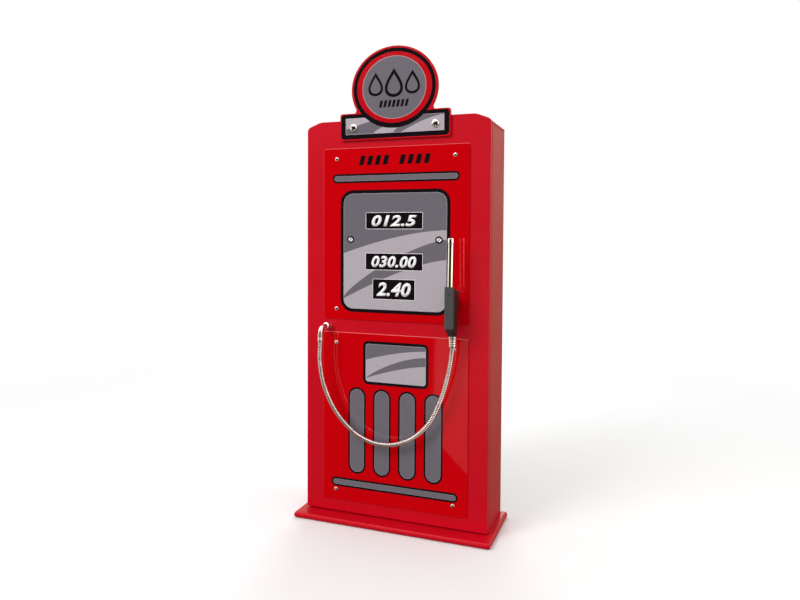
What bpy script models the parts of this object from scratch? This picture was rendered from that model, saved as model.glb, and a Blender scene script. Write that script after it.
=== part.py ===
"""Decorative fuel-pump cabinet: a painted board case with a hinged front that carries two
glossy panels, an overhead sign, a steel hose and a lift-off nozzle.

Metres, +Z up, front towards -Y. The origin is the centre of the base plate's underside.
"""
import math

import bmesh
import bpy
from mathutils import Vector

# ---------------------------------------------------------------- driving dimensions
GAP = 0.0003                    # clearance between two pieces that touch

BOARD_WIDTH = 0.600             # hinged front board
BOARD_HEIGHT = 1.245
BOARD_THICK = 0.018
SHOULDER_RUN = 0.0456           # clipped top corners
SHOULDER_DROP = 0.0175
SHOULDER_RADIUS = 0.010
BOARD_LIFT = 0.004              # shadow gap between the front board and the base plate

CASE_DEPTH = 0.1722             # carcass behind the front board
CASE_THICK = 0.018
CASE_DROP = 0.0216              # carcass top below the front board's top
TOP_LIP = 0.008                 # thin end of the top board that laps over each side
BACK_THICK = 0.003
BACK_INSET = 0.002
EDGE_ROUND = 0.0012

BASE_THICK = 0.018
BASE_FRONT = 0.055              # base plate beyond the front board
BASE_SIDE = 0.0217
BASE_BACK = 0.007
BASE_ROUND = 0.0085

PANEL_SIDE = 0.060              # board left bare beside the two acrylic panels
PANEL_TOP = 0.086               # above the upper panel
PANEL_BOTTOM = 0.038            # below the lower panel
PANEL_SPACE = 0.041             # between the panels
PANEL_THICK = 0.003
PANEL_RADIUS = 0.008
PANEL_SCREW_SIDE = 0.046        # screw to the panel's side
PANEL_SCREW_END = 0.0335        # screw to the panel's end

SIGN_THICK = 0.009
SIGN_WIDTH = 0.360
SIGN_BAR_HEIGHT = 0.084
SIGN_BAR_BELOW = 0.064          # bottom of the sign's bar below the top of the front board
SIGN_RADIUS = 0.006
SIGN_DISC_HALF_WIDTH = 0.141
SIGN_DISC_HALF_HEIGHT = 0.1275
SIGN_DISC_UP = 0.154            # disc centre above the bottom of the bar
SIGN_NECK = 0.010               # straight neck between bar and disc
SIGN_SCREW_X = 0.1335
SIGN_SCREW_UP = 0.039

SCREW_HEAD_RADIUS = 0.0062      # panel, sign and holder screws
SCREW_HEAD_HEIGHT = 0.0036
SCREW_SLOT = (0.0013, 0.0015)   # width and depth
SCREW_SHANK_RADIUS = 0.0018
SCREW_SHANK_LENGTH = 0.013
SCREW_POINT = 0.003
SIGN_HEAD_RADIUS = 0.0125
SIGN_HEAD_HEIGHT = 0.0090
SIGN_SLOT = (0.0018, 0.0022)
SIGN_SHANK_LENGTH = 0.022
HOLDER_HEAD_RADIUS = 0.0034
HOLDER_HEAD_HEIGHT = 0.0022
HOLDER_SLOT = (0.0009, 0.0010)
HOLE_CLEARANCE = 0.0006

LEAF_THICK = 0.0012             # three butt hinges on the left edge
LEAF_WIDTH = 0.0155
LEAF_HEIGHT = 0.060
KNUCKLE_RADIUS = 0.0034
HINGE_PIN_RADIUS = 0.0017
KNUCKLE_GAP = 0.0004
KNUCKLE_OVERLAP = 0.0007        # leaf's edge inside its own knuckles
HINGE_OFFSET = 0.0040           # hinge axis outside the board's edge
HINGE_END = 0.150               # end hinges' centres to the board's ends

SHELF_THICK = 0.018
SHELF_DEPTH = 0.150
SHELF_SIDE_GAP = 0.0010
SHELF_PIN_RADIUS = 0.0025
SHELF_PIN_OUT = 0.008
SHELF_PIN_IN = 0.009
SHELF_PIN_INSET = 0.032         # pin row from the shelf's front and back edges
PIN_HOLE_PITCH = 0.032
PIN_HOLE_CLEARANCE = 0.0003

FITTING_SIDE = 0.078            # hose outlet to the board's left edge
FITTING_RADIUS = 0.0115
FITTING_OUT = 0.014
ELBOW_RADIUS = 0.0068
ELBOW_BEND = 0.021
ELBOW_REACH = 0.061             # elbow's outlet in front of the board's face
ELBOW_TAIL = 0.001              # straight end below the bend
SHANK_RADIUS = 0.005
SHANK_PAST_NUT = 0.0025
LOCKNUT_RADIUS = 0.0095         # across corners
LOCKNUT_HEIGHT = 0.005
SLEEVE_RADIUS = 0.0082
SLEEVE_LENGTH = 0.022
HOSE_RADIUS = 0.007

NOZZLE_SIDE = 0.100             # the nozzle's centre plane to the board's right edge
GRIP_WIDTH = 0.028
GRIP_DEPTH = 0.051
GRIP_BACK = 0.029               # grip's back face in front of the board's face
GRIP_DROP = 0.004               # grip's foot below the upper panel's foot
GRIP_FRONT_HEIGHT = 0.124
GRIP_BACK_HEIGHT = 0.098
GRIP_EDGE = 0.0022
SPOUT_RADIUS = 0.0080
SPOUT_BORE = 0.0062
SPOUT_BORE_FLOOR = 0.030        # closed below this height
SPOUT_OUT = 0.072               # spout's foot in front of the board's face
SPOUT_LEAN = math.radians(2.2)
SPOUT_SEAT = 0.096              # spout's foot above the grip's foot
SPOUT_LENGTH = 0.141
TIP_RADIUS = 0.0089
TIP_LENGTH = 0.026
TAIL_OUT = 0.041                # hose axis in front of the board's face
COLLAR_HEIGHT = 0.024
COLLAR_ACROSS = 0.0250
COLLAR_CHAMFER_TOP = 0.0025
COLLAR_CHAMFER_END = 0.0068
FERRULE_LENGTH = 0.031
FERRULE_TOP_RADIUS = 0.0122
FERRULE_END_RADIUS = 0.0108

HOLDER_PLATE = (0.016, 0.004, 0.058)
HOLDER_UP = 0.079               # holder's centre above the grip's foot
NECK_WIDTH = 0.008
BUTTON_WIDTH = 0.017
BUTTON_HEIGHT = 0.0150
BUTTON_THICK = 0.004
LIP_THICK = 0.004               # grip wall that the button hooks behind
POCKET_CLEARANCE = 0.0005
LIFT_TRAVEL = 0.0165            # lift that frees the nozzle from its holder
HOLDER_SCREW_STEP = 0.021

CATCH_SIZE = (0.046, 0.013, 0.014)
CATCH_SIDE = 0.067              # catch to the right side board's inner face
MAGNET_SIZE = (0.032, 0.003, 0.008)
STRIKE_SIZE = (0.040, 0.0012, 0.012)

# hose route: sideways, in front of the board's face, and below the outlet
HOSE_ROUTE = (
    (-0.2225, 0.0610, 0.0645), (-0.2245, 0.0600, 0.0955), (-0.2215, 0.0585, 0.1335),
    (-0.2145, 0.0560, 0.1725), (-0.2040, 0.0530, 0.2045), (-0.1910, 0.0500, 0.2355),
    (-0.1715, 0.0465, 0.2685), (-0.1450, 0.0430, 0.3000), (-0.1080, 0.0400, 0.3305),
    (-0.0650, 0.0380, 0.3495), (-0.0310, 0.0370, 0.3550), (0.0030, 0.0360, 0.3540),
    (0.0360, 0.0360, 0.3450), (0.0680, 0.0360, 0.3300), (0.1000, 0.0365, 0.3060),
    (0.1290, 0.0380, 0.2730), (0.1490, 0.0390, 0.2375), (0.1640, 0.0400, 0.2025),
    (0.1750, 0.0400, 0.1715), (0.1835, 0.0410, 0.1405), (0.1905, 0.0410, 0.1105),
    (0.1955, 0.0410, 0.0805),
)
HOSE_STEP = 0.030               # spacing of the drawn points along the hose

# ---------------------------------------------------------------- places that follow
BASE_WIDTH = BOARD_WIDTH + 2 * BASE_SIDE
DOOR_GAP = 2 * (LEAF_THICK + GAP) + GAP
CASE_TOTAL = BOARD_THICK + DOOR_GAP + CASE_DEPTH
BASE_DEPTH = BASE_FRONT + CASE_TOTAL + BASE_BACK
FACE_Y = -BASE_DEPTH / 2 + BASE_FRONT          # front face of the front board
DOOR_BACK = FACE_Y + BOARD_THICK
CASE_FRONT = DOOR_BACK + DOOR_GAP
CASE_BACK = CASE_FRONT + CASE_DEPTH
BOARD_FOOT = BASE_THICK + BOARD_LIFT
BOARD_TOP = BOARD_FOOT + BOARD_HEIGHT
CASE_TOP = BOARD_TOP - CASE_DROP
HALF = BOARD_WIDTH / 2
INNER_HALF = HALF - CASE_THICK
PANEL_FACE = FACE_Y - GAP - PANEL_THICK
SIGN_FACE = FACE_Y - GAP - SIGN_THICK
PANEL_WIDTH = BOARD_WIDTH - 2 * PANEL_SIDE
PANEL_HEIGHT = (BOARD_HEIGHT - PANEL_TOP - PANEL_SPACE - PANEL_BOTTOM) / 2
PANEL_SCREW_X = PANEL_WIDTH / 2 - PANEL_SCREW_SIDE
LOWER_PANEL_FOOT = BOARD_FOOT + PANEL_BOTTOM
UPPER_PANEL_FOOT = LOWER_PANEL_FOOT + PANEL_HEIGHT + PANEL_SPACE
SIGN_FOOT = BOARD_TOP - SIGN_BAR_BELOW
HINGE_X = -HALF - HINGE_OFFSET
HINGE_Y = DOOR_BACK + DOOR_GAP / 2
HINGE_CENTRES = {"top": BOARD_TOP - HINGE_END, "middle": (BOARD_TOP + BOARD_FOOT) / 2,
                 "bottom": BOARD_FOOT + HINGE_END}
FLOOR_TOP = BASE_THICK + GAP + CASE_THICK
BAY_HEIGHT = (CASE_TOP - CASE_THICK - FLOOR_TOP - 3 * SHELF_THICK) / 4
SHELF_UNDERSIDES = {name: FLOOR_TOP + BAY_HEIGHT * number + SHELF_THICK * (number - 1)
                    for number, name in enumerate(("lower", "middle", "upper"), 1)}
CATCH_X = INNER_HALF - CATCH_SIDE
FITTING_X = -HALF + FITTING_SIDE
FITTING_Z = UPPER_PANEL_FOOT - PANEL_SPACE / 2
NOZZLE_X = HALF - NOZZLE_SIDE
GRIP_BOTTOM = UPPER_PANEL_FOOT - GRIP_DROP
GRIP_FRONT_TOP = GRIP_BOTTOM + GRIP_FRONT_HEIGHT
GRIP_BACK_TOP = GRIP_BOTTOM + GRIP_BACK_HEIGHT
SPOUT_FOOT = GRIP_BOTTOM + SPOUT_SEAT
HOLDER_Z = GRIP_BOTTOM + HOLDER_UP
TOWARDS_FRONT = (math.pi / 2, 0.0, 0.0)        # turns local +Z to -Y
TOWARDS_BACK = (-math.pi / 2, 0.0, 0.0)


# ---------------------------------------------------------------- scene and materials
def clear_scene():
    for item in list(bpy.data.objects):
        bpy.data.objects.remove(item, do_unlink=True)


def material(name, colour, roughness, metallic=0.0):
    made = bpy.data.materials.new(name)
    made.use_nodes = True
    shader = made.node_tree.nodes["Principled BSDF"]
    shader.inputs["Base Color"].default_value = (*colour, 1.0)
    shader.inputs["Roughness"].default_value = roughness
    shader.inputs["Metallic"].default_value = metallic
    made.diffuse_color = (*colour, 1.0)
    return made


FINISHES = {
    "red_paint": ((0.50, 0.006, 0.018), 0.30, 0.0),
    "red_acrylic": ((0.58, 0.0, 0.004), 0.08, 0.0),
    "sign_paint": ((0.60, 0.004, 0.010), 0.28, 0.0),
    "hardboard": ((0.30, 0.19, 0.11), 0.75, 0.0),
    "chrome": ((0.80, 0.79, 0.78), 0.12, 1.0),
    "steel_hose": ((0.66, 0.63, 0.60), 0.30, 1.0),
    "zinc_steel": ((0.60, 0.60, 0.58), 0.35, 1.0),
    "dark_plastic": ((0.045, 0.050, 0.050), 0.42, 0.0),
    "black_plastic": ((0.015, 0.015, 0.016), 0.50, 0.0),
    "white_plastic": ((0.80, 0.80, 0.78), 0.45, 0.0),
    "magnet": ((0.09, 0.09, 0.10), 0.55, 0.3),
}


def finish(thing, finish_name):
    colour, roughness, metallic = FINISHES[finish_name]
    thing.data.materials.clear()
    thing.data.materials.append(material(thing.name + "_finish", colour, roughness, metallic))


# ---------------------------------------------------------------- modelling helpers
def pivot(name, place, parent=None):
    """An empty on a joint's axis."""
    empty = bpy.data.objects.new(name, None)
    bpy.context.scene.collection.objects.link(empty)
    empty.parent = parent
    empty.location = Vector(place) - (parent_place(parent))
    empty["world_place"] = tuple(place)
    return empty


def parent_place(parent):
    return Vector(parent["world_place"]) if parent else Vector((0.0, 0.0, 0.0))


def add(name, mesh, place=(0.0, 0.0, 0.0), turn=(0.0, 0.0, 0.0), parent=None):
    thing = bpy.data.objects.new(name, mesh)
    bpy.context.scene.collection.objects.link(thing)
    thing.parent = parent
    thing.location = Vector(place) - parent_place(parent)
    thing.rotation_euler = turn
    return thing


def mesh_from(name, build):
    """A mesh with outward faces, filled in by build(bm)."""
    bm = bmesh.new()
    build(bm)
    bmesh.ops.recalc_face_normals(bm, faces=bm.faces)
    mesh = bpy.data.meshes.new(name)
    bm.to_mesh(mesh)
    bm.free()
    return mesh


def box_mesh(name, low, high):
    """A box between two corners, in the object's own coordinates."""
    low = Vector(low)
    high = Vector(high)

    def build(bm):
        bmesh.ops.create_cube(bm, size=1.0)
        for vert in bm.verts:
            for axis in range(3):
                vert.co[axis] = high[axis] if vert.co[axis] > 0 else low[axis]

    return mesh_from(name, build)


def plate_mesh(name, outline, back, front):
    """An outline in X and Z, filled and extruded from y=back to y=front."""

    def build(bm):
        ring = [bm.verts.new((x, back, z)) for x, z in outline]
        face = bm.faces.new(ring)
        swept = bmesh.ops.extrude_face_region(bm, geom=[face])
        moved = [item for item in swept["geom"] if isinstance(item, bmesh.types.BMVert)]
        bmesh.ops.translate(bm, verts=moved, vec=(0.0, front - back, 0.0))

    return mesh_from(name, build)


def turned_mesh(name, profile, steps):
    """A profile of (radius, height) points turned about local Z and closed at both ends."""

    def build(bm):
        rings = []
        for radius, height in profile:
            if radius == 0.0:
                rings.append([bm.verts.new((0.0, 0.0, height))])
                continue
            ring = []
            for step in range(steps):
                angle = 2 * math.pi * step / steps
                ring.append(bm.verts.new((radius * math.cos(angle), radius * math.sin(angle), height)))
            rings.append(ring)
        closed = len(rings[0]) > 1 and len(rings[-1]) > 1 and profile[0] == profile[-1]
        if closed:
            bmesh.ops.delete(bm, geom=rings.pop(), context="VERTS")
            rings.append(rings[0])
        for first, second in zip(rings, rings[1:]):
            join_rings(bm, first, second)
        if not closed:
            for ring in (rings[0], rings[-1]):
                if len(ring) > 1:
                    bm.faces.new(ring)

    return mesh_from(name, build)


def join_rings(bm, first, second):
    count = max(len(first), len(second))
    for step in range(count):
        after = (step + 1) % count
        corners = [first[step % len(first)], first[after % len(first)],
                   second[after % len(second)], second[step % len(second)]]
        bm.faces.new(list(dict.fromkeys(corners)))


def arc(centre, radii, start, end, steps):
    """Points on an ellipse's arc, in X and Z; angles in degrees."""
    points = []
    for step in range(steps + 1):
        angle = math.radians(start + (end - start) * step / steps)
        points.append((centre[0] + radii[0] * math.cos(angle), centre[1] + radii[1] * math.sin(angle)))
    return points


def rounded_outline(low, high, radius, steps=5):
    (x0, z0), (x1, z1) = low, high
    corners = ((x1 - radius, z0 + radius, -90), (x1 - radius, z1 - radius, 0),
               (x0 + radius, z1 - radius, 90), (x0 + radius, z0 + radius, 180))
    points = []
    for x, z, start in corners:
        points += arc((x, z), (radius, radius), start, start + 90, steps)
    return points


def softened(outline, corners, radius, steps=3):
    """Replace the listed corners of an outline by small curves."""
    points = []
    for index, point in enumerate(outline):
        if index not in corners:
            points.append(point)
            continue
        here = Vector(point)
        before = (Vector(outline[index - 1]) - here).normalized() * radius
        after = (Vector(outline[(index + 1) % len(outline)]) - here).normalized() * radius
        for step in range(steps + 1):
            share = step / steps
            curve = here + before * (1 - share) ** 2 + after * share ** 2
            points.append((curve.x, curve.y))
    return points


def round_edges(thing, width, segments=2, angle=30.0):
    bevel = thing.modifiers.new("round_edges", "BEVEL")
    bevel.width = width
    bevel.segments = segments
    bevel.limit_method = "ANGLE"
    bevel.angle_limit = math.radians(angle)
    return bevel


def helper(name, mesh, place, turn=(0.0, 0.0, 0.0), parent=None):
    """A cutter: it shapes other pieces and isn't a piece itself."""
    tool = add(name, mesh, place, turn, parent)
    tool.hide_render = True
    tool.display_type = "WIRE"
    return tool


def combine(thing, tool, operation="DIFFERENCE"):
    step = thing.modifiers.new(tool.name, "BOOLEAN")
    step.operation = operation
    step.solver = "EXACT"
    step.object = tool


def drill(thing, name, radius, place, length, turn=TOWARDS_FRONT, steps=12, parent=None):
    """A round hole centred on place, length long in all."""
    mesh = turned_mesh(name, [(radius, -length / 2), (radius, length / 2)], steps)
    combine(thing, helper(name, mesh, place, turn, parent))


def settled_mesh(thing, name):
    """The object's mesh with its modifiers applied, for pieces that share it."""
    graph = bpy.context.evaluated_depsgraph_get()
    mesh = bpy.data.meshes.new_from_object(thing.evaluated_get(graph))
    mesh.name = name
    return mesh


def smooth(thing, angle=35.0):
    mesh = thing.data
    if isinstance(mesh, bpy.types.Mesh):
        mesh.shade_smooth()
        mesh.set_sharp_from_angle(angle=math.radians(angle))


# ---------------------------------------------------------------- carcass
def make_base_plate():
    low = (-BASE_WIDTH / 2, -BASE_DEPTH / 2, 0.0)
    high = (BASE_WIDTH / 2, BASE_DEPTH / 2, BASE_THICK)
    plate = add("base_plate", box_mesh("base_plate", low, high))
    round_edges(plate, BASE_ROUND, 4)
    finish(plate, "red_paint")


def pin_hole_rows():
    """(y, z) of each shelf-pin hole; the pins use the middle hole of each group."""
    rows = []
    front, back = pin_columns()
    for level in ("lower", "upper"):
        used = SHELF_UNDERSIDES[level] - GAP - SHELF_PIN_RADIUS
        for step in (-1, 0, 1):
            for depth in (front, back):
                rows.append((depth, used + step * PIN_HOLE_PITCH))
    return rows


def pin_columns():
    back = CASE_BACK - BACK_THICK - SHELF_PIN_INSET
    return back - (SHELF_DEPTH - 2 * SHELF_PIN_INSET), back


def make_sides():
    foot = BASE_THICK + GAP
    top = CASE_TOP - TOP_LIP - GAP
    back = CASE_BACK - BACK_THICK - GAP
    for name, sign in (("left_side", -1), ("right_side", 1)):
        edges = sorted((sign * HALF, sign * INNER_HALF))
        mesh = box_mesh(name, (edges[0], CASE_FRONT, foot), (edges[1], back, top))
        side = add(name, mesh)
        round_edges(side, EDGE_ROUND, 1)
        radius = SHELF_PIN_RADIUS + PIN_HOLE_CLEARANCE
        for number, (depth, height) in enumerate(pin_hole_rows(), 1):
            place = (sign * INNER_HALF, depth, height)
            hole = "%s_hole_%02d" % (name, number)
            drill(side, hole, radius, place, 2 * (SHELF_PIN_IN + GAP), (0.0, math.pi / 2, 0.0), 8)
        finish(side, "red_paint")


def make_top_board():
    top = CASE_TOP
    neck = INNER_HALF - GAP
    outline = [(-HALF, top - TOP_LIP), (-neck, top - TOP_LIP), (-neck, top - CASE_THICK),
               (neck, top - CASE_THICK), (neck, top - TOP_LIP), (HALF, top - TOP_LIP),
               (HALF, top), (-HALF, top)]
    back = CASE_BACK - BACK_THICK - GAP
    board = add("top_board", plate_mesh("top_board", outline, back, CASE_FRONT))
    round_edges(board, EDGE_ROUND / 2, 1)
    finish(board, "red_paint")


def make_level(name, underside, front, side_gap):
    reach = INNER_HALF - side_gap
    back = CASE_BACK - BACK_THICK - GAP
    mesh = box_mesh(name, (-reach, front, underside), (reach, back, underside + SHELF_THICK))
    level = add(name, mesh)
    round_edges(level, EDGE_ROUND, 1)
    finish(level, "red_paint")


def make_levels():
    make_level("bottom_board", BASE_THICK + GAP, CASE_FRONT, GAP)
    front = CASE_BACK - BACK_THICK - SHELF_DEPTH
    make_level("middle_shelf", SHELF_UNDERSIDES["middle"], front, GAP)
    for level in ("lower", "upper"):
        make_level(level + "_shelf", SHELF_UNDERSIDES[level], front, SHELF_SIDE_GAP)


def make_back_panel():
    low = (-HALF + BACK_INSET, CASE_BACK - BACK_THICK, BASE_THICK + GAP)
    high = (HALF - BACK_INSET, CASE_BACK, CASE_TOP - BACK_INSET)
    finish(add("back_panel", box_mesh("back_panel", low, high)), "hardboard")


def make_shelf_pins():
    profile = [(0.0, -SHELF_PIN_IN), (SHELF_PIN_RADIUS, -SHELF_PIN_IN + 0.001),
               (SHELF_PIN_RADIUS, SHELF_PIN_OUT - 0.001), (0.0, SHELF_PIN_OUT)]
    mesh = turned_mesh("shelf_pin", profile, 8)
    mesh.shade_smooth()
    number = 0
    for level in ("lower", "upper"):
        height = SHELF_UNDERSIDES[level] - GAP - SHELF_PIN_RADIUS
        for sign in (-1, 1):
            for depth in pin_columns():
                number += 1
                turn = (0.0, -sign * math.pi / 2, 0.0)
                pin = add("shelf_pin_%d" % number, mesh, (sign * INNER_HALF, depth, height), turn)
                if number == 1:
                    finish(pin, "zinc_steel")


def make_catch():
    """Magnetic catch under the middle shelf, and its magnet."""
    width, depth, height = CATCH_SIZE
    top = SHELF_UNDERSIDES["middle"] - GAP
    front = CASE_FRONT
    low = (CATCH_X - width / 2, front + MAGNET_SIZE[1] + GAP, top - height)
    high = (CATCH_X + width / 2, CASE_BACK - BACK_THICK - SHELF_DEPTH + depth, top)
    housing = add("catch_housing", box_mesh("catch_housing", low, high))
    round_edges(housing, 0.001, 1)
    finish(housing, "white_plastic")
    middle = top - height / 2
    low = (CATCH_X - MAGNET_SIZE[0] / 2, front, middle - MAGNET_SIZE[2] / 2)
    high = (CATCH_X + MAGNET_SIZE[0] / 2, front + MAGNET_SIZE[1], middle + MAGNET_SIZE[2] / 2)
    finish(add("catch_magnet", box_mesh("catch_magnet", low, high)), "magnet")
    return middle


def make_strike_plate(middle, door):
    reach = STRIKE_SIZE[0] / 2
    place = (CATCH_X, DOOR_BACK + GAP, middle)
    mesh = box_mesh("strike_plate", (-reach, 0.0, -STRIKE_SIZE[2] / 2),
                    (reach, STRIKE_SIZE[1], STRIKE_SIZE[2] / 2))
    strike = add("strike_plate", mesh, place, parent=door)
    finish(strike, "zinc_steel")


# ---------------------------------------------------------------- hinges
def leaf_mesh(name, spans, facing):
    """A leaf about the hinge axis: knuckles on spans of Z, plate on the facing side of Y."""
    root = KNUCKLE_RADIUS + GAP * 2
    reach = HINGE_OFFSET + LEAF_WIDTH
    tooth = KNUCKLE_RADIUS - KNUCKLE_OVERLAP
    outline = [(reach, 0.0), (reach, LEAF_HEIGHT)]
    points = []
    for low, high in reversed(spans):
        points += [(root, high), (tooth, high), (tooth, low), (root, low)]
    if points[0][1] >= LEAF_HEIGHT:
        points = points[1:]
    else:
        points = [(root, LEAF_HEIGHT)] + points
    if points[-1][1] <= 0.0:
        points = points[:-1]
    else:
        points.append((root, 0.0))
    outline += points
    near, far = GAP / 2, GAP / 2 + LEAF_THICK
    plate = add(name + "_plate", plate_mesh(name, outline, facing * near, facing * far))
    tools = []
    for number, (low, high) in enumerate(spans):
        ring = turned_mesh(name, [(KNUCKLE_RADIUS, low), (KNUCKLE_RADIUS, high)], 16)
        tools.append(helper("%s_ring_%d" % (name, number), ring, (0.0, 0.0, 0.0)))
        combine(plate, tools[-1], "UNION")
    bore = turned_mesh(name, [(HINGE_PIN_RADIUS + GAP, -0.01), (HINGE_PIN_RADIUS + GAP, LEAF_HEIGHT + 0.01)], 16)
    tools.append(helper(name + "_bore", bore, (0.0, 0.0, 0.0)))
    combine(plate, tools[-1])
    mesh = settled_mesh(plate, name)
    for item in tools + [plate]:
        bpy.data.objects.remove(item, do_unlink=True)
    return mesh


def make_hinges(door):
    third = LEAF_HEIGHT / 3
    outer = [(0.0, third - KNUCKLE_GAP / 2), (2 * third + KNUCKLE_GAP / 2, LEAF_HEIGHT)]
    inner = [(third + KNUCKLE_GAP / 2, 2 * third - KNUCKLE_GAP / 2)]
    frame_mesh = leaf_mesh("frame_leaf", outer, 1)
    door_mesh = leaf_mesh("door_leaf", inner, -1)
    head = KNUCKLE_RADIUS * 0.8
    profile = [(0.0, -0.0005), (HINGE_PIN_RADIUS, -0.0005), (HINGE_PIN_RADIUS, LEAF_HEIGHT + GAP),
               (head, LEAF_HEIGHT + GAP), (head, LEAF_HEIGHT + 0.001), (0.0, LEAF_HEIGHT + 0.0018)]
    pin_mesh = turned_mesh("hinge_pin", profile, 16)
    for mesh in (frame_mesh, door_mesh, pin_mesh):
        mesh.shade_smooth()
        mesh.set_sharp_from_angle(angle=math.radians(30))
    for level, centre in HINGE_CENTRES.items():
        place = (HINGE_X, HINGE_Y, centre - LEAF_HEIGHT / 2)
        pieces = (add("frame_leaf_" + level, frame_mesh, place),
                  add("hinge_pin_" + level, pin_mesh, place),
                  add("door_leaf_" + level, door_mesh, place, parent=door))
        if level == "top":
            for piece in pieces:
                finish(piece, "zinc_steel")


# ---------------------------------------------------------------- front board and panels
def screw_places():
    """(x, z) of the eight panel screws, upper panel first."""
    places = []
    for foot in (UPPER_PANEL_FOOT, LOWER_PANEL_FOOT):
        for height in (foot + PANEL_HEIGHT - PANEL_SCREW_END, foot + PANEL_SCREW_END):
            for sign in (-1, 1):
                places.append((sign * PANEL_SCREW_X, height))
    return places


def make_front_board(door):
    top, side = BOARD_TOP, BOARD_TOP - SHOULDER_DROP
    shoulder = HALF - SHOULDER_RUN
    outline = [(-HALF, BOARD_FOOT), (HALF, BOARD_FOOT), (HALF, side), (shoulder, top),
               (-shoulder, top), (-HALF, side)]
    outline = softened(outline, (2, 3, 4, 5), SHOULDER_RADIUS)
    board = local_plate("front_board", outline, FACE_Y, BOARD_THICK, door)
    round_edges(board, EDGE_ROUND, 2)
    drill_screw_holes(board, "board", screw_places(), FACE_Y, 2 * SCREW_SHANK_LENGTH, door)
    sign_depth = 2 * (SIGN_SHANK_LENGTH - SIGN_THICK + HOLE_CLEARANCE)
    drill_screw_holes(board, "board_sign", sign_screw_places(), FACE_Y, sign_depth, door)
    drill_screw_holes(board, "board_holder", holder_screw_places(), FACE_Y, 2 * SCREW_SHANK_LENGTH, door)
    drill(board, "board_outlet", SHANK_RADIUS + GAP, (FITTING_X, DOOR_BACK, FITTING_Z),
          4 * BOARD_THICK, parent=door)
    finish(board, "red_paint")


def local_plate(name, outline, rear, thick, parent, centre=(0.0, 0.0)):
    """A plate whose rear face lies at y=rear + thick and front face at y=rear."""
    moved = [(x - centre[0], z - centre[1]) for x, z in outline]
    mesh = plate_mesh(name, moved, thick, 0.0)
    return add(name, mesh, (centre[0], rear, centre[1]), parent=parent)


def drill_screw_holes(thing, name, places, depth_centre, length, door):
    for number, (x, z) in enumerate(places, 1):
        drill(thing, "%s_hole_%d" % (name, number), SCREW_SHANK_RADIUS + HOLE_CLEARANCE,
              (x, depth_centre, z), length, steps=8, parent=door)


def make_panels(door):
    for name, foot in (("upper_panel", UPPER_PANEL_FOOT), ("lower_panel", LOWER_PANEL_FOOT)):
        half = PANEL_WIDTH / 2
        outline = rounded_outline((-half, foot), (half, foot + PANEL_HEIGHT), PANEL_RADIUS)
        panel = local_plate(name, outline, PANEL_FACE, PANEL_THICK, door)
        round_edges(panel, 0.0005, 1)
        inside = [place for place in screw_places() + holder_screw_places()
                  if foot < place[1] < foot + PANEL_HEIGHT]
        drill_screw_holes(panel, name, inside, PANEL_FACE, 4 * PANEL_THICK, door)
        finish(panel, "red_acrylic")


def slotted_mesh(name, profile, radius, top, slot, steps=20):
    """A turned screw with a straight slot across its head."""
    width, depth = slot
    body = add(name + "_body", turned_mesh(name, profile, steps))
    bar = box_mesh(name, (-radius * 2, -width / 2, top - depth), (radius * 2, width / 2, top + 0.01))
    tool = helper(name + "_slot", bar, (0.0, 0.0, 0.0))
    combine(body, tool)
    mesh = settled_mesh(body, name)
    mesh.shade_smooth()
    mesh.set_sharp_from_angle(angle=math.radians(40))
    for item in (body, tool):
        bpy.data.objects.remove(item, do_unlink=True)
    return mesh


def screw_profile(radius, height, shank, crown=3):
    """Pan head above z=0 and a pointed shank below it."""
    profile = [(0.0, -shank), (SCREW_SHANK_RADIUS, -shank + SCREW_POINT), (SCREW_SHANK_RADIUS, 0.0),
               (radius * 0.97, 0.0), (radius, height * 0.25)]
    for step in range(1, crown + 1):
        angle = math.pi / 2 * step / (crown + 1)
        profile.append((radius * math.cos(angle), height * (0.25 + 0.75 * math.sin(angle))))
    profile.append((0.0, height))
    return profile


def make_panel_screws(door):
    profile = screw_profile(SCREW_HEAD_RADIUS, SCREW_HEAD_HEIGHT, SCREW_SHANK_LENGTH)
    mesh = slotted_mesh("panel_screw", profile, SCREW_HEAD_RADIUS, SCREW_HEAD_HEIGHT, SCREW_SLOT, 16)
    slot_turns = (10, -35, 8, 60, -48, 20, 75, 0)
    for number, (x, z) in enumerate(screw_places(), 1):
        place = (x, PANEL_FACE - GAP, z)
        turn = (math.pi / 2, math.radians(slot_turns[number - 1]), 0.0)
        screw = add("panel_screw_%d" % number, mesh, place, turn, door)
        if number == 1:
            finish(screw, "chrome")
    for name, (x, z) in zip(("upper", "lower"), holder_screw_places()):
        place = (x, PANEL_FACE - GAP - HOLDER_PLATE[1] - GAP, z)
        screw_turn = (math.pi / 2, 0.0, 0.0)
        add("holder_screw_" + name, holder_screw_mesh(), place, screw_turn, door)


def holder_screw_mesh():
    """Small pan-head screw; both holder screws share this one mesh."""
    name = "holder_screw"
    if name not in bpy.data.meshes:
        shank = SCREW_SHANK_LENGTH + HOLDER_PLATE[1]
        profile = screw_profile(HOLDER_HEAD_RADIUS, HOLDER_HEAD_HEIGHT, shank, 2)
        mesh = slotted_mesh(name, profile, HOLDER_HEAD_RADIUS, HOLDER_HEAD_HEIGHT, HOLDER_SLOT, 12)
        mesh.name = name
        mesh.materials.clear()
        mesh.materials.append(material("holder_screw_finish", *FINISHES["zinc_steel"]))
        return mesh
    return bpy.data.meshes[name]


# ---------------------------------------------------------------- sign
def sign_screw_places():
    height = SIGN_FOOT + SIGN_SCREW_UP
    return [(-SIGN_SCREW_X, height), (SIGN_SCREW_X, height)]


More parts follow.
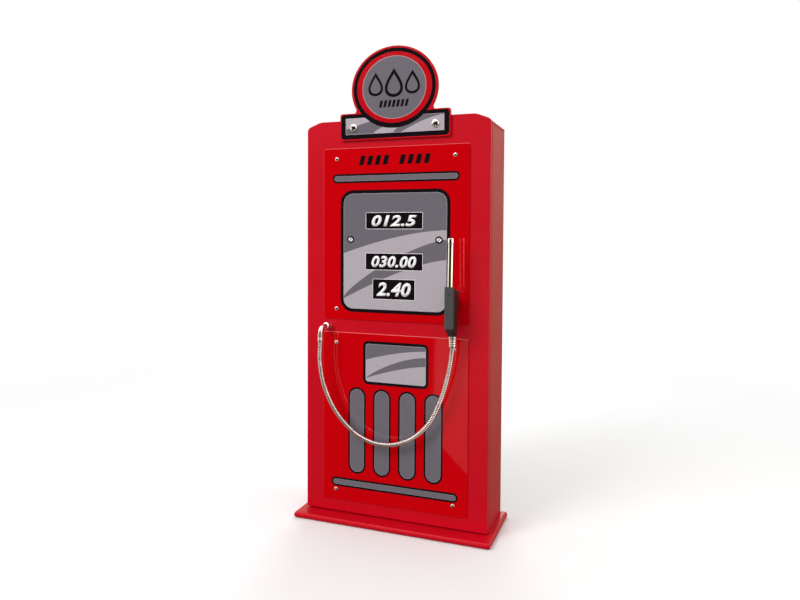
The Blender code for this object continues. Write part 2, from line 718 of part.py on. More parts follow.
def sign_outline():
    """The bar and the oval disc above it, as one outline."""
    half = SIGN_WIDTH / 2
    bar_top = SIGN_FOOT + SIGN_BAR_HEIGHT
    centre = (0.0, SIGN_FOOT + SIGN_DISC_UP)
    radii = (SIGN_DISC_HALF_WIDTH, SIGN_DISC_HALF_HEIGHT)
    start = math.degrees(math.asin((bar_top + SIGN_NECK - centre[1]) / radii[1]))
    disc = arc(centre, radii, start, 180 - start, 44)
    neck = disc[0][0] + SIGN_NECK * 0.4
    bar = [(-neck, bar_top), (-half, bar_top), (-half, SIGN_FOOT), (half, SIGN_FOOT),
           (half, bar_top), (neck, bar_top)]
    return softened(bar, (1, 2, 3, 4), SIGN_RADIUS) + disc


def make_sign(door):
    centre = (0.0, SIGN_FOOT + SIGN_DISC_UP)
    sign = local_plate("sign_board", sign_outline(), SIGN_FACE, SIGN_THICK, door, centre)
    round_edges(sign, 0.0008, 1)
    drill_screw_holes(sign, "sign", sign_screw_places(), SIGN_FACE, 4 * SIGN_THICK, door)
    finish(sign, "sign_paint")
    profile = screw_profile(SIGN_HEAD_RADIUS, SIGN_HEAD_HEIGHT, SIGN_SHANK_LENGTH, 5)
    mesh = slotted_mesh("sign_screw", profile, SIGN_HEAD_RADIUS, SIGN_HEAD_HEIGHT, SIGN_SLOT, 24)
    for name, (x, z) in zip(("left", "right"), sign_screw_places()):
        turn = (math.pi / 2, math.radians(25 if name == "left" else -30), 0.0)
        screw = add("sign_screw_" + name, mesh, (x, SIGN_FACE - GAP, z), turn, door)
        if name == "left":
            finish(screw, "chrome")


# ---------------------------------------------------------------- hose and its fittings
def make_outlet(door):
    """Domed flange nut on the board's face, lock nut behind, and the chrome elbow."""
    place = (FITTING_X, FACE_Y - GAP, FITTING_Z)
    bore = SHANK_RADIUS + GAP
    rim = FITTING_RADIUS
    out = FITTING_OUT
    profile = [(bore, 0.0), (rim, 0.0), (rim, out * 0.2), (rim * 0.96, out * 0.45),
               (rim * 0.84, out * 0.72), (ELBOW_RADIUS + 2 * GAP + 0.0008, out),
               (ELBOW_RADIUS + 2 * GAP, out), (ELBOW_RADIUS + 2 * GAP, out * 0.3),
               (bore, out * 0.3), (bore, 0.0)]
    dome = add("outlet_dome", turned_mesh("outlet_dome", profile, 24), place, TOWARDS_FRONT, door)
    finish(dome, "chrome")

    nut_place = (FITTING_X, DOOR_BACK + GAP, FITTING_Z)
    nut_profile = [(LOCKNUT_RADIUS, 0.0), (LOCKNUT_RADIUS, LOCKNUT_HEIGHT)]
    nut = add("outlet_locknut", turned_mesh("outlet_locknut", nut_profile, 6), nut_place, TOWARDS_BACK, door)
    drill(nut, "locknut_bore", bore, nut_place, 4 * LOCKNUT_HEIGHT, steps=16, parent=door)
    finish(nut, "zinc_steel")
    make_elbow(door)

    sleeve_profile = [(0.0, 0.0), (SLEEVE_RADIUS, 0.0), (SLEEVE_RADIUS, SLEEVE_LENGTH * 0.2),
                      (SLEEVE_RADIUS * 0.93, SLEEVE_LENGTH * 0.3), (SLEEVE_RADIUS * 0.93, SLEEVE_LENGTH * 0.7),
                      (SLEEVE_RADIUS, SLEEVE_LENGTH * 0.8), (SLEEVE_RADIUS, SLEEVE_LENGTH),
                      (0.0, SLEEVE_LENGTH)]
    sleeve = add("hose_sleeve", turned_mesh("hose_sleeve", sleeve_profile, 20), sleeve_foot(), parent=door)
    finish(sleeve, "chrome")


def sleeve_foot():
    """Centre of the sleeve's lower end, where the hose starts."""
    top = FITTING_Z - ELBOW_BEND - ELBOW_TAIL - GAP
    return (FITTING_X, FACE_Y - ELBOW_REACH, top - SLEEVE_LENGTH)


def make_elbow(door):
    """A threaded shank through the board, widening to a tube that bends down by 90 degrees."""
    seat = GAP + FITTING_OUT * 0.3 + GAP
    start = Vector((0.0, -seat, 0.0))
    corner = Vector((0.0, -ELBOW_REACH, 0.0))
    end = Vector((0.0, -ELBOW_REACH, -ELBOW_BEND - ELBOW_TAIL))
    centre = corner + Vector((0.0, ELBOW_BEND, -ELBOW_BEND))
    path = [(start, Vector((0.0, -1.0, 0.0)))]
    for step in range(9):
        angle = math.pi / 2 * step / 8
        outward = Vector((0.0, -math.sin(angle), math.cos(angle)))
        along = Vector((0.0, -math.cos(angle), -math.sin(angle)))
        path.append((centre + outward * ELBOW_BEND, along))
    path.append((end, Vector((0.0, 0.0, -1.0))))
    back = BOARD_THICK + GAP + LOCKNUT_HEIGHT + SHANK_PAST_NUT
    shank = [(Vector((0.0, back, 0.0)), Vector((0.0, -1.0, 0.0))), (start, Vector((0.0, -1.0, 0.0)))]

    def build(bm):
        rings = [tube_ring(bm, spot, along, SHANK_RADIUS, 20) for spot, along in shank]
        rings += [tube_ring(bm, spot, along, ELBOW_RADIUS, 20) for spot, along in path]
        for first, second in zip(rings, rings[1:]):
            join_rings(bm, first, second)
        bm.faces.new(rings[0])
        bm.faces.new(rings[-1])

    elbow = add("hose_elbow", mesh_from("hose_elbow", build), (FITTING_X, FACE_Y, FITTING_Z), parent=door)
    finish(elbow, "chrome")


def tube_ring(bm, spot, along, radius, steps):
    side = Vector((1.0, 0.0, 0.0))
    up = along.cross(side).normalized()
    ring = []
    for step in range(steps):
        angle = 2 * math.pi * step / steps
        ring.append(bm.verts.new(spot + (side * math.cos(angle) + up * math.sin(angle)) * radius))
    return ring


def ferrule_foot():
    return (NOZZLE_X, FACE_Y - TAIL_OUT, GRIP_BOTTOM - COLLAR_HEIGHT - 2 * GAP - FERRULE_LENGTH)


def hose_points():
    """Evenly spaced points on a smooth curve through the route, upright at both ends."""
    first = Vector(sleeve_foot()) - Vector((0.0, 0.0, GAP))
    last = Vector(ferrule_foot()) - Vector((0.0, 0.0, GAP))
    up = Vector((0.0, 0.0, HOSE_STEP))
    knots = [first + up, first]
    knots += [Vector((x, FACE_Y - out, FITTING_Z - drop)) for x, out, drop in HOSE_ROUTE]
    knots += [last, last + up]
    dense = []
    for index in range(1, len(knots) - 2):
        for step in range(12):
            dense.append(smooth_point(knots[index - 1:index + 3], step / 12))
    dense.append(last)
    upright = Vector((0.0, 0.0, HOSE_RADIUS))
    return [first, first - upright] + evenly(dense, HOSE_STEP)[1:-1] + [last - upright, last]


def smooth_point(four, share):
    """Catmull-Rom curve between the middle two of four points."""
    before, start, end, after = four
    cubic = -before + 3 * start - 3 * end + after
    square = 2 * before - 5 * start + 4 * end - after
    return 0.5 * (2 * start + (end - before) * share + square * share ** 2 + cubic * share ** 3)


def evenly(points, step):
    spans = [(b - a).length for a, b in zip(points, points[1:])]
    count = round(sum(spans) / step)
    wanted = [sum(spans) * number / count for number in range(1, count)]
    chosen = [points[0]]
    travelled = 0.0
    for (start, end), span in zip(zip(points, points[1:]), spans):
        while wanted and wanted[0] <= travelled + span:
            chosen.append(start.lerp(end, (wanted.pop(0) - travelled) / span))
        travelled += span
    return chosen + [points[-1]]


def make_hose(door):
    curve = bpy.data.curves.new("hose", "CURVE")
    curve.dimensions = "3D"
    curve.bevel_depth = HOSE_RADIUS
    curve.bevel_resolution = 3
    curve.use_fill_caps = True
    points = hose_points()
    origin = points[0]
    spline = curve.splines.new("POLY")
    spline.points.add(len(points) - 1)
    for slot, point in zip(spline.points, points):
        slot.co = (*(point - origin), 1.0)
    finish(add("hose", curve, origin, parent=door), "steel_hose")


# ---------------------------------------------------------------- holder and nozzle
def holder_screw_places():
    return [(NOZZLE_X, HOLDER_Z + HOLDER_SCREW_STEP), (NOZZLE_X, HOLDER_Z - HOLDER_SCREW_STEP)]


def make_holder(door):
    """Screwed plate with a button that hooks behind the grip's back wall."""
    place = (NOZZLE_X, PANEL_FACE - GAP, HOLDER_Z)
    width, thick, height = HOLDER_PLATE
    plate = add("nozzle_holder", box_mesh("nozzle_holder", (-width / 2, -thick, -height / 2),
                                          (width / 2, 0.0, height / 2)), place, parent=door)
    round_edges(plate, 0.001, 1)
    wall_back = -(GRIP_BACK - (FACE_Y - PANEL_FACE) - GAP)
    button_back = wall_back - LIP_THICK - POCKET_CLEARANCE
    neck = box_mesh("holder_neck", (-NECK_WIDTH / 2, button_back - 0.002, -BUTTON_HEIGHT / 2),
                    (NECK_WIDTH / 2, -thick / 2, BUTTON_HEIGHT / 2))
    button = box_mesh("holder_button", (-BUTTON_WIDTH / 2, button_back - BUTTON_THICK, -BUTTON_HEIGHT / 2),
                      (BUTTON_WIDTH / 2, button_back, BUTTON_HEIGHT / 2))
    for name, mesh in (("holder_neck", neck), ("holder_button", button)):
        combine(plate, helper(name, mesh, place, parent=door), "UNION")
    drill_screw_holes(plate, "holder", holder_screw_places(), place[1], 4 * thick, door)
    finish(plate, "black_plastic")


def make_grip(nozzle):
    """Tall block with a top that slopes to the back and a keyhole pocket in its back face."""
    back, front = FACE_Y - GRIP_BACK, FACE_Y - GRIP_BACK - GRIP_DEPTH
    half = GRIP_WIDTH / 2
    profile = [(back, GRIP_BOTTOM), (front, GRIP_BOTTOM), (front, GRIP_FRONT_TOP), (back, GRIP_BACK_TOP)]
    place = Vector((NOZZLE_X, back, GRIP_BOTTOM))

    def build(bm):
        rings = []
        for x in (-half, half):
            rings.append([bm.verts.new(Vector((x + NOZZLE_X, y, z)) - place) for y, z in profile])
        join_rings(bm, rings[0], rings[1])
        bm.faces.new(rings[0])
        bm.faces.new(rings[1])

    grip = add("grip", mesh_from("grip", build), place, parent=nozzle)
    round_edges(grip, GRIP_EDGE, 2)
    cut_pocket(grip, back, nozzle)
    turn = (-SPOUT_LEAN, 0.0, 0.0)
    foot = spout_point(-GAP)
    bore = turned_mesh("spout_seat", [(SPOUT_RADIUS + GAP, 0.0), (SPOUT_RADIUS + GAP, GRIP_FRONT_HEIGHT)], 20)
    combine(grip, helper("spout_seat", bore, foot, turn, nozzle))
    finish(grip, "dark_plastic")


def cut_pocket(grip, back, nozzle):
    """Inner chamber, narrow slot for the neck and a wide entry below it."""
    clear = POCKET_CLEARANCE
    low = HOLDER_Z - BUTTON_HEIGHT / 2 - LIFT_TRAVEL - clear
    high = HOLDER_Z + BUTTON_HEIGHT / 2 + clear
    wide = BUTTON_WIDTH / 2 + clear
    narrow = NECK_WIDTH / 2 + clear
    deep = back - LIP_THICK - BUTTON_THICK - 3 * clear
    chamber = box_mesh("chamber", (-wide, deep, low), (wide, back - LIP_THICK, high))
    slot = box_mesh("slot", (-narrow, back - LIP_THICK - 0.002, low + 0.002), (narrow, back + 0.01, high))
    entry = box_mesh("entry", (-wide, back - LIP_THICK - 0.002, low),
                     (wide, back + 0.01, low + BUTTON_HEIGHT + 2 * clear))
    for name, mesh in (("pocket_chamber", chamber), ("pocket_slot", slot), ("pocket_entry", entry)):
        combine(grip, helper(name, mesh, (NOZZLE_X, 0.0, 0.0), parent=nozzle))


def spout_point(along):
    """A point on the spout's axis, measured from its foot."""
    return Vector((NOZZLE_X, FACE_Y - SPOUT_OUT + math.sin(SPOUT_LEAN) * along,
                   SPOUT_FOOT + math.cos(SPOUT_LEAN) * along))


def make_spout(nozzle):
    turn = (-SPOUT_LEAN, 0.0, 0.0)
    length = SPOUT_LENGTH
    floor = SPOUT_BORE_FLOOR
    profile = [(0.0, 0.0), (SPOUT_RADIUS, 0.0), (SPOUT_RADIUS, length), (SPOUT_BORE, length),
               (SPOUT_BORE, floor), (0.0, floor)]
    spout = add("spout", turned_mesh("spout", profile, 20), spout_point(0.0), turn, nozzle)
    finish(spout, "chrome")
    outer = TIP_RADIUS
    tip_profile = [(SPOUT_BORE, 0.0), (outer * 0.93, 0.0), (outer * 0.93, TIP_LENGTH * 0.30),
                   (outer, TIP_LENGTH * 0.38), (outer, TIP_LENGTH - 0.001), (outer - 0.001, TIP_LENGTH),
                   (SPOUT_BORE, TIP_LENGTH), (SPOUT_BORE, 0.0)]
    tip = add("spout_tip", turned_mesh("spout_tip", tip_profile, 20), spout_point(length + GAP), turn, nozzle)
    finish(tip, "chrome")


def make_collar(nozzle):
    """Taper between the grip's foot and the hose ferrule, eight-sided all the way."""
    middle = GRIP_BACK + GRIP_DEPTH / 2
    place = Vector((NOZZLE_X, FACE_Y - middle, GRIP_BOTTOM - GAP - COLLAR_HEIGHT))
    shift = middle - TAIL_OUT
    edge = GRIP_EDGE
    wide = (GRIP_WIDTH / 2 - edge * 0.6, GRIP_DEPTH / 2 - edge * 0.6)
    small = (COLLAR_ACROSS / 2, COLLAR_ACROSS / 2)

    def build(bm):
        top = eight_sided(wide, COLLAR_CHAMFER_TOP, (0.0, 0.0), COLLAR_HEIGHT)
        end = eight_sided(small, COLLAR_CHAMFER_END, (0.0, shift), 0.0)
        rings = [[bm.verts.new(point) for point in ring] for ring in (top, end)]
        join_rings(bm, rings[0], rings[1])
        bm.faces.new(rings[0])
        bm.faces.new(rings[1])

    collar = add("grip_collar", mesh_from("grip_collar", build), place, parent=nozzle)
    round_edges(collar, 0.0005, 1, 12.0)
    finish(collar, "dark_plastic")


def eight_sided(half, chamfer, centre, height):
    x, y = half
    corners = [(x - chamfer, -y), (x, -y + chamfer), (x, y - chamfer), (x - chamfer, y),
               (-x + chamfer, y), (-x, y - chamfer), (-x, -y + chamfer), (-x + chamfer, -y)]
    return [(a + centre[0], b + centre[1], height) for a, b in corners]


def make_ferrule(nozzle):
    length = FERRULE_LENGTH
    top, end = FERRULE_TOP_RADIUS, FERRULE_END_RADIUS
    profile = [(0.0, 0.0), (end * 0.9, 0.0), (end, 0.0015)]
    for share in (0.34, 0.62):
        radius = end + (top - end) * share
        profile += [(radius, length * (share - 0.05)), (radius * 0.94, length * (share - 0.02)),
                    (radius * 0.94, length * (share + 0.02)), (radius, length * (share + 0.05))]
    profile += [(top, length - 0.0015), (top * 0.9, length), (0.0, length)]
    ferrule = add("hose_ferrule", turned_mesh("hose_ferrule", profile, 24), ferrule_foot(), parent=nozzle)
    finish(ferrule, "chrome")


# ---------------------------------------------------------------- assembly
def build():
    clear_scene()
    door = pivot("door_axis", (HINGE_X, HINGE_Y, BOARD_FOOT))
    nozzle = pivot("nozzle_axis", (NOZZLE_X, FACE_Y - GRIP_BACK, GRIP_BOTTOM), door)
    make_base_plate()
    make_sides()
    make_top_board()
    make_levels()
    make_back_panel()
    make_shelf_pins()
    catch_middle = make_catch()
    make_strike_plate(catch_middle, door)
    make_hinges(door)
    make_front_board(door)
    make_panels(door)
    make_panel_screws(door)
    make_sign(door)
    make_outlet(door)
    make_hose(door)
    make_holder(door)
    make_grip(nozzle)
    make_spout(nozzle)
    make_collar(nozzle)
    make_ferrule(nozzle)
    for thing in bpy.data.objects:
        if thing.type == "MESH":
            smooth(thing)


build()
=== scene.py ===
"""Looks of the fuel-pump cabinet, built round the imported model.

Metres, +Z up, front towards -Y, in the frame's own coordinates.
"""
import math

import bmesh
import bpy
from mathutils import Matrix, Vector


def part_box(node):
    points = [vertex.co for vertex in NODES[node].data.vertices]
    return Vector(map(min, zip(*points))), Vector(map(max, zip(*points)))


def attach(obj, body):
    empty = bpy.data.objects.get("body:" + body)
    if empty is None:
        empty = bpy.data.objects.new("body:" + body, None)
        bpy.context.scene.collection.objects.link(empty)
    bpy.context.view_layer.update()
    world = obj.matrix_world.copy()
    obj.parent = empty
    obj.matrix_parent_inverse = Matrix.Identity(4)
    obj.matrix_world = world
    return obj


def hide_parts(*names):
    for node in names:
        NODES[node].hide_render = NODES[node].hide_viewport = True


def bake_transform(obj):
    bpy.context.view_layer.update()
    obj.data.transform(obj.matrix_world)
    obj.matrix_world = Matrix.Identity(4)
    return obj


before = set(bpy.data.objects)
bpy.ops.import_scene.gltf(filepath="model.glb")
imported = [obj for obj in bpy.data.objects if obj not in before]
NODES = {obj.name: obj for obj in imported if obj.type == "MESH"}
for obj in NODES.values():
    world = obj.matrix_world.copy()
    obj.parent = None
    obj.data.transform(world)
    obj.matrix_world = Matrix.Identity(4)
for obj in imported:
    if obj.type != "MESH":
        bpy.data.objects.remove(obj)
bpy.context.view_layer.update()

GAP = 0.0003                    # clearance between two pieces that touch

# ---------------------------------------------------------------- places from the frame
BOARD_LOW, BOARD_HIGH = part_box("front_board")
UPPER_LOW, UPPER_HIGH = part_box("upper_panel")
LOWER_LOW, LOWER_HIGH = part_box("lower_panel")
SIGN_LOW, SIGN_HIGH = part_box("sign_board")
FACE_Y = BOARD_LOW.y            # front face of the front board
PANEL_FACE = UPPER_LOW.y
SIGN_FACE = SIGN_LOW.y
OUTLET = (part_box("outlet_dome")[0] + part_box("outlet_dome")[1]) / 2
FRONT = Vector((0.0, -1.0, 0.0))
TOWARDS_FRONT = (math.pi / 2, 0.0, 0.0)        # turns local +Z to -Y


# ---------------------------------------------------------------- objects and shader nodes
MIX_FIRST, MIX_SECOND, MIX_RESULT = 6, 7, 2     # a colour Mix node's sockets


def placed(name, data):
    """A new object in the scene."""
    made = bpy.data.objects.new(name, data)
    bpy.context.scene.collection.objects.link(made)
    return made


def add_node(nodes, kind, **values):
    """A shader node with values set on its inputs; _ stands for a space in an input's name."""
    node = nodes.new(kind)
    for socket, value in values.items():
        node.inputs[socket.replace("_", " ")].default_value = value
    return node


def colour_ramp(nodes, stops):
    """A colour ramp node; stops are (position, colour)."""
    node = nodes.new("ShaderNodeValToRGB")
    while len(node.color_ramp.elements) < len(stops):
        node.color_ramp.elements.new(0.5)
    for element, (position, colour) in zip(node.color_ramp.elements, stops):
        element.position = position
        element.color = (*colour, 1.0)
    return node


# ---------------------------------------------------------------- camera
SENSOR_WIDTH = 36.0
CAMERA_PLACE = (0.7403, -2.0043, 0.9015)
CAMERA_TURN = math.radians(20.464)
CAMERA_TILT = math.radians(1.919)
CAMERA_ROLL = math.radians(0.321)
CAMERA_LENS = 30.207
CAMERA_SHIFT = -0.050


def make_camera():
    data = bpy.data.cameras.new("camera")
    data.sensor_width = SENSOR_WIDTH
    data.lens = CAMERA_LENS
    data.shift_y = CAMERA_SHIFT
    camera = placed("camera", data)
    turn = Matrix.Rotation(CAMERA_TURN, 4, "Z")
    tilt = Matrix.Rotation(math.pi / 2 - CAMERA_TILT, 4, "X")
    roll = Matrix.Rotation(CAMERA_ROLL, 4, "Z")
    camera.matrix_world = Matrix.Translation(CAMERA_PLACE) @ turn @ tilt @ roll
    bpy.context.scene.camera = camera


make_camera()


# ---------------------------------------------------------------- finishes
class Finish:
    """A Principled material whose colour, roughness and bump come from its own nodes."""

    def __init__(self, name, colour, roughness, metallic=0.0, **sockets):
        self.material = bpy.data.materials.new(name)
        self.material.use_nodes = True
        self.nodes = self.material.node_tree.nodes
        self.shader = self.nodes["Principled BSDF"]
        self.set("Base Color", (*colour, 1.0))
        self.set("Roughness", roughness)
        self.set("Metallic", metallic)
        for socket, value in sockets.items():
            self.set(socket.replace("_", " "), value)
        self.material.diffuse_color = (*colour, 1.0)
        self.place = self.nodes.new("ShaderNodeTexCoord")
        self.last_bump = None

    def set(self, socket, value):
        self.shader.inputs[socket].default_value = value

    def link(self, start, end):
        self.material.node_tree.links.new(start, end)

    def stretched(self, stretch):
        mapping = self.nodes.new("ShaderNodeMapping")
        mapping.inputs["Scale"].default_value = stretch
        self.link(self.place.outputs["Object"], mapping.inputs["Vector"])
        return mapping.outputs["Vector"]

    def noise(self, scale, detail=3.0, stretch=(1.0, 1.0, 1.0), roughness=0.5):
        texture = add_node(self.nodes, "ShaderNodeTexNoise", Scale=scale, Detail=detail, Roughness=roughness)
        self.link(self.stretched(stretch), texture.inputs["Vector"])
        return texture.outputs["Fac"]

    def spangle(self, scale):
        """A random colour for each crystal-like cell."""
        texture = add_node(self.nodes, "ShaderNodeTexVoronoi", Scale=scale)
        self.link(self.stretched((1.0, 1.0, 1.0)), texture.inputs["Vector"])
        return texture.outputs["Color"]

    def component(self, vector, axis):
        split = self.nodes.new("ShaderNodeSeparateXYZ")
        self.link(vector, split.inputs["Vector"])
        return split.outputs[axis]

    def ramp(self, factor, stops):
        """Colour along factor; stops are (position, colour)."""
        node = colour_ramp(self.nodes, stops)
        self.link(factor, node.inputs["Fac"])
        return node.outputs["Color"]

    def mixed(self, factor, first, second):
        """From first to second by factor; each is another node's output or a plain colour."""
        node = self.nodes.new("ShaderNodeMix")
        node.data_type = "RGBA"
        self.link(factor, node.inputs["Factor"])
        for number, colour in ((MIX_FIRST, first), (MIX_SECOND, second)):
            if isinstance(colour, tuple):
                node.inputs[number].default_value = (*colour, 1.0)
            else:
                self.link(colour, node.inputs[number])
        return node.outputs[MIX_RESULT]

    def colour_from(self, output):
        self.link(output, self.shader.inputs["Base Color"])

    def colour_between(self, factor, low, high):
        self.colour_from(self.ramp(factor, [(0.30, low), (0.70, high)]))

    def ranged(self, factor, low, high, span=(0.30, 0.70)):
        node = add_node(self.nodes, "ShaderNodeMapRange", From_Min=span[0], From_Max=span[1],
                        To_Min=low, To_Max=high)
        self.link(factor, node.inputs["Value"])
        return node.outputs["Result"]

    def roughness_between(self, factor, low, high):
        self.link(self.ranged(factor, low, high), self.shader.inputs["Roughness"])

    def bump(self, height, distance, strength=1.0):
        """Adds relief; each call stacks on the last."""
        node = add_node(self.nodes, "ShaderNodeBump", Strength=strength, Distance=distance)
        self.link(height, node.inputs["Height"])
        if self.last_bump:
            self.link(self.last_bump, node.inputs["Normal"])
        self.last_bump = node.outputs["Normal"]
        self.link(self.last_bump, self.shader.inputs["Normal"])


def paint(name, low, high, roughness, peel):
    """Sprayed paint: slight clouding, orange peel and the board's faint waves."""
    made = Finish(name, high, sum(roughness) / 2, IOR=1.5, Specular_IOR_Level=0.20)
    made.colour_between(made.noise(5.0, 4.0), low, high)
    made.roughness_between(made.noise(12.0, 2.0), *roughness)
    made.bump(made.noise(7.0, 1.0), 0.0006, 0.30)
    made.bump(made.noise(260.0, 1.0), peel, 0.5)
    return made.material


def acrylic():
    """Polished sheet: almost flat, with a few wiping marks and a painted highlight: edges that face up are
    coloured lighter.
    """
    body, edge = (0.600, 0.0005, 0.004), (0.90, 0.30, 0.32)
    made = Finish("acrylic_red", body, 0.06, IOR=1.49)
    clouding = made.ramp(made.noise(4.0, 3.0), [(0.3, (0.575, 0.0003, 0.003)), (0.7, body)])
    # painted highlight: faces that look upwards, the chamfers along the top, are coloured lighter pink
    normal = made.nodes.new("ShaderNodeNewGeometry")
    facing_up = made.component(normal.outputs["True Normal"], "Z")
    made.colour_from(made.mixed(made.ranged(facing_up, 0.0, 1.0, (0.30, 0.55)), clouding, edge))
    made.roughness_between(made.noise(14.0, 6.0, (1.0, 1.0, 0.25)), 0.020, 0.055)
    made.bump(made.noise(5.0, 1.0), 0.0011, 0.30)
    return made.material


def print_ink(name, low, high, roughness=(0.10, 0.17)):
    """Glossy printed film: fine mottling and the sheet's own faint waves."""
    made = Finish(name, high, sum(roughness) / 2, IOR=1.49)
    made.colour_between(made.noise(190.0, 4.0), low, high)
    made.roughness_between(made.noise(24.0, 5.0), *roughness)
    made.bump(made.noise(5.0, 1.0), 0.0009, 0.28)
    return made.material


def metal(name, low, high, roughness, grain, stretch=(1.0, 1.0, 1.0), relief=0.00002):
    made = Finish(name, high, sum(roughness) / 2, 1.0)
    made.colour_between(made.noise(grain, 4.0, stretch), low, high)
    made.roughness_between(made.noise(grain * 1.7, 5.0, stretch), *roughness)
    made.bump(made.noise(grain * 2.5, 3.0, stretch), relief, 0.4)
    return made.material


def zinc():
    made = Finish("zinc", (0.60, 0.60, 0.58), 0.38, 1.0)
    made.colour_from(made.ramp(made.spangle(240.0), [(0.2, (0.50, 0.50, 0.49)), (0.8, (0.66, 0.66, 0.63))]))
    made.roughness_between(made.noise(300.0, 4.0), 0.30, 0.46)
    made.bump(made.noise(700.0, 2.0), 0.00003, 0.4)
    return made.material


def plastic(name, low, high, roughness, grain):
    """Moulded plastic with a fine spark-eroded grain."""
    made = Finish(name, high, sum(roughness) / 2, IOR=1.48)
    made.colour_between(made.noise(26.0, 4.0), low, high)
    made.roughness_between(made.noise(60.0, 5.0), *roughness)
    made.bump(made.noise(grain, 2.0), 0.00006, 0.5)
    return made.material


def grip_plastic():
    """Black moulded plastic; the flat front face is coloured dark grey as a painted sheen, the other faces near
    black.
    """
    made = Finish("plastic_grip", (0.03, 0.03, 0.03), 0.45, IOR=1.48)
    # painted sheen: faces turned to the front get a lighter grey than the near-black sides
    facing = made.ranged(made.component(made.place.outputs["Normal"], "Y"), 1.0, 0.0, (-0.95, -0.60))
    front_painted_sheen = made.ramp(made.noise(300.0, 3.0), [(0.3, (0.052, 0.055, 0.054)), (0.7, (0.070, 0.074, 0.072))])
    sides = made.ramp(made.noise(200.0, 3.0), [(0.3, (0.007, 0.008, 0.008)), (0.7, (0.012, 0.013, 0.013))])
    made.colour_from(made.mixed(facing, sides, front_painted_sheen))
    made.roughness_between(made.noise(60.0, 5.0), 0.34, 0.48)
    made.bump(made.noise(1500.0, 2.0), 0.00006, 0.5)
    return made.material


def hose_metal():
    """Polished strip with a fine, slightly uneven tone, tinted pink as a painted reflection of the red cabinet.
    """
    made = Finish("hose_strip", (0.66, 0.57, 0.57), 0.10, 1.0)
    made.colour_between(made.noise(420.0, 4.0), (0.58, 0.50, 0.50), (0.76, 0.67, 0.67))
    made.roughness_between(made.noise(700.0, 4.0), 0.06, 0.14)
    made.bump(made.noise(1500.0, 3.0), 0.00003, 0.4)
    return made.material


def hardboard():
    """Pressed fibre: long flecks in two tones over a burnished face."""
    made = Finish("fibre_board", (0.27, 0.155, 0.082), 0.6)
    flecks = made.noise(260.0, 6.0, (0.35, 1.0, 1.0), 0.7)
    made.colour_from(made.ramp(flecks, [(0.30, (0.13, 0.066, 0.032)), (0.50, (0.26, 0.148, 0.078)),
                                        (0.72, (0.37, 0.23, 0.135))]))
    made.roughness_between(made.noise(40.0, 4.0), 0.45, 0.72)
    made.bump(flecks, 0.00012, 0.6)
    return made.material


FINISHES = {
    "red_paint": paint("paint_red", (0.545, 0.0020, 0.011), (0.590, 0.0028, 0.014), (0.27, 0.33), 0.00001),
    "sign_paint": paint("paint_sign", (0.52, 0.002, 0.008), (0.58, 0.003, 0.012), (0.22, 0.32), 0.000012),
    "hardboard": hardboard(),
    "red_acrylic": acrylic(),
    "chrome": metal("chrome_plate", (0.84, 0.82, 0.80), (0.93, 0.91, 0.89), (0.045, 0.11), 60.0),
    # painted reflection: the satin chrome is tinted pink for the red cabinet it reflects
    "satin": metal("chrome_satin", (0.80, 0.69, 0.70), (0.92, 0.81, 0.82), (0.16, 0.26), 90.0),
    "steel_hose": hose_metal(),
    "zinc_steel": zinc(),
    "dark_plastic": grip_plastic(),
    "black_plastic": plastic("plastic_black", (0.012, 0.012, 0.013), (0.022, 0.022, 0.023),
                             (0.42, 0.56), 1200.0),
    "white_plastic": plastic("plastic_white", (0.72, 0.71, 0.68), (0.82, 0.81, 0.79), (0.38, 0.50), 900.0),
    "magnet": plastic("ferrite", (0.055, 0.055, 0.062), (0.105, 0.105, 0.115), (0.45, 0.62), 1100.0),
    "print_grey": print_ink("ink_grey", (0.150, 0.136, 0.156), (0.166, 0.151, 0.173)),
    "print_light": print_ink("ink_light", (0.440, 0.395, 0.425), (0.475, 0.430, 0.460)),
    "print_black": print_ink("ink_black", (0.006, 0.0035, 0.005), (0.011, 0.007, 0.009)),
    "print_white": print_ink("ink_white", (0.90, 0.89, 0.89), (0.97, 0.96, 0.96)),
    "print_red": print_ink("ink_red", (0.50, 0.001, 0.006), (0.55, 0.001, 0.008)),
}


def dress_frame():
    """Each carried-over CAD node gets the finish that its material slot names."""
    for node in NODES.values():
        for number, material in enumerate(node.data.materials):
            node.data.materials[number] = FINISHES[material.name]


dress_frame()


# ---------------------------------------------------------------- modelling helpers
SHARP = 30.0                    # degrees; rounded edges stay smooth below it


def piece(name, mesh, body, finish, replaces=(), place=(0.0, 0.0, 0.0), turn=(0.0, 0.0, 0.0)):
    made = placed(name, mesh)
    made.location = place
    made.rotation_euler = turn
    if not mesh.materials:
        mesh.materials.append(FINISHES[finish])
    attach(made, body)
    "chrome" if finish == "satin" else finish
    if replaces:
        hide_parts(*replaces)
    return made


def smooth(mesh, sharp):
    """Shades smooth up to the sharp angle, in degrees."""
    mesh.shade_smooth()
    mesh.set_sharp_from_angle(angle=math.radians(sharp))


def mesh_from(name, build, sharp=None):
    """A mesh filled in by build(bm), with outward faces; smooth up to the sharp angle."""
    bm = bmesh.new()
    build(bm)
    bmesh.ops.recalc_face_normals(bm, faces=bm.faces)
    mesh = bpy.data.meshes.new(name)
    bm.to_mesh(mesh)
    bm.free()
    if sharp:
        smooth(mesh, sharp)
    return mesh


def evaluated(carrier):
    """The carrier's mesh with its modifiers applied; the carrier goes."""
    graph = bpy.context.evaluated_depsgraph_get()
    mesh = bpy.data.meshes.new_from_object(carrier.evaluated_get(graph))
    bpy.data.objects.remove(carrier, do_unlink=True)
    return mesh


def settled(name, mesh, modifiers):
    """The mesh with modifiers applied; modifiers are (type, settings)."""
    carrier = placed(name, mesh)
    for kind, settings in modifiers:
        step = carrier.modifiers.new(kind, kind)
        for key, value in settings.items():
            setattr(step, key, value)
    made = evaluated(carrier)
    made.name = name
    smooth(made, SHARP)
    keep_flat(made)
    return made


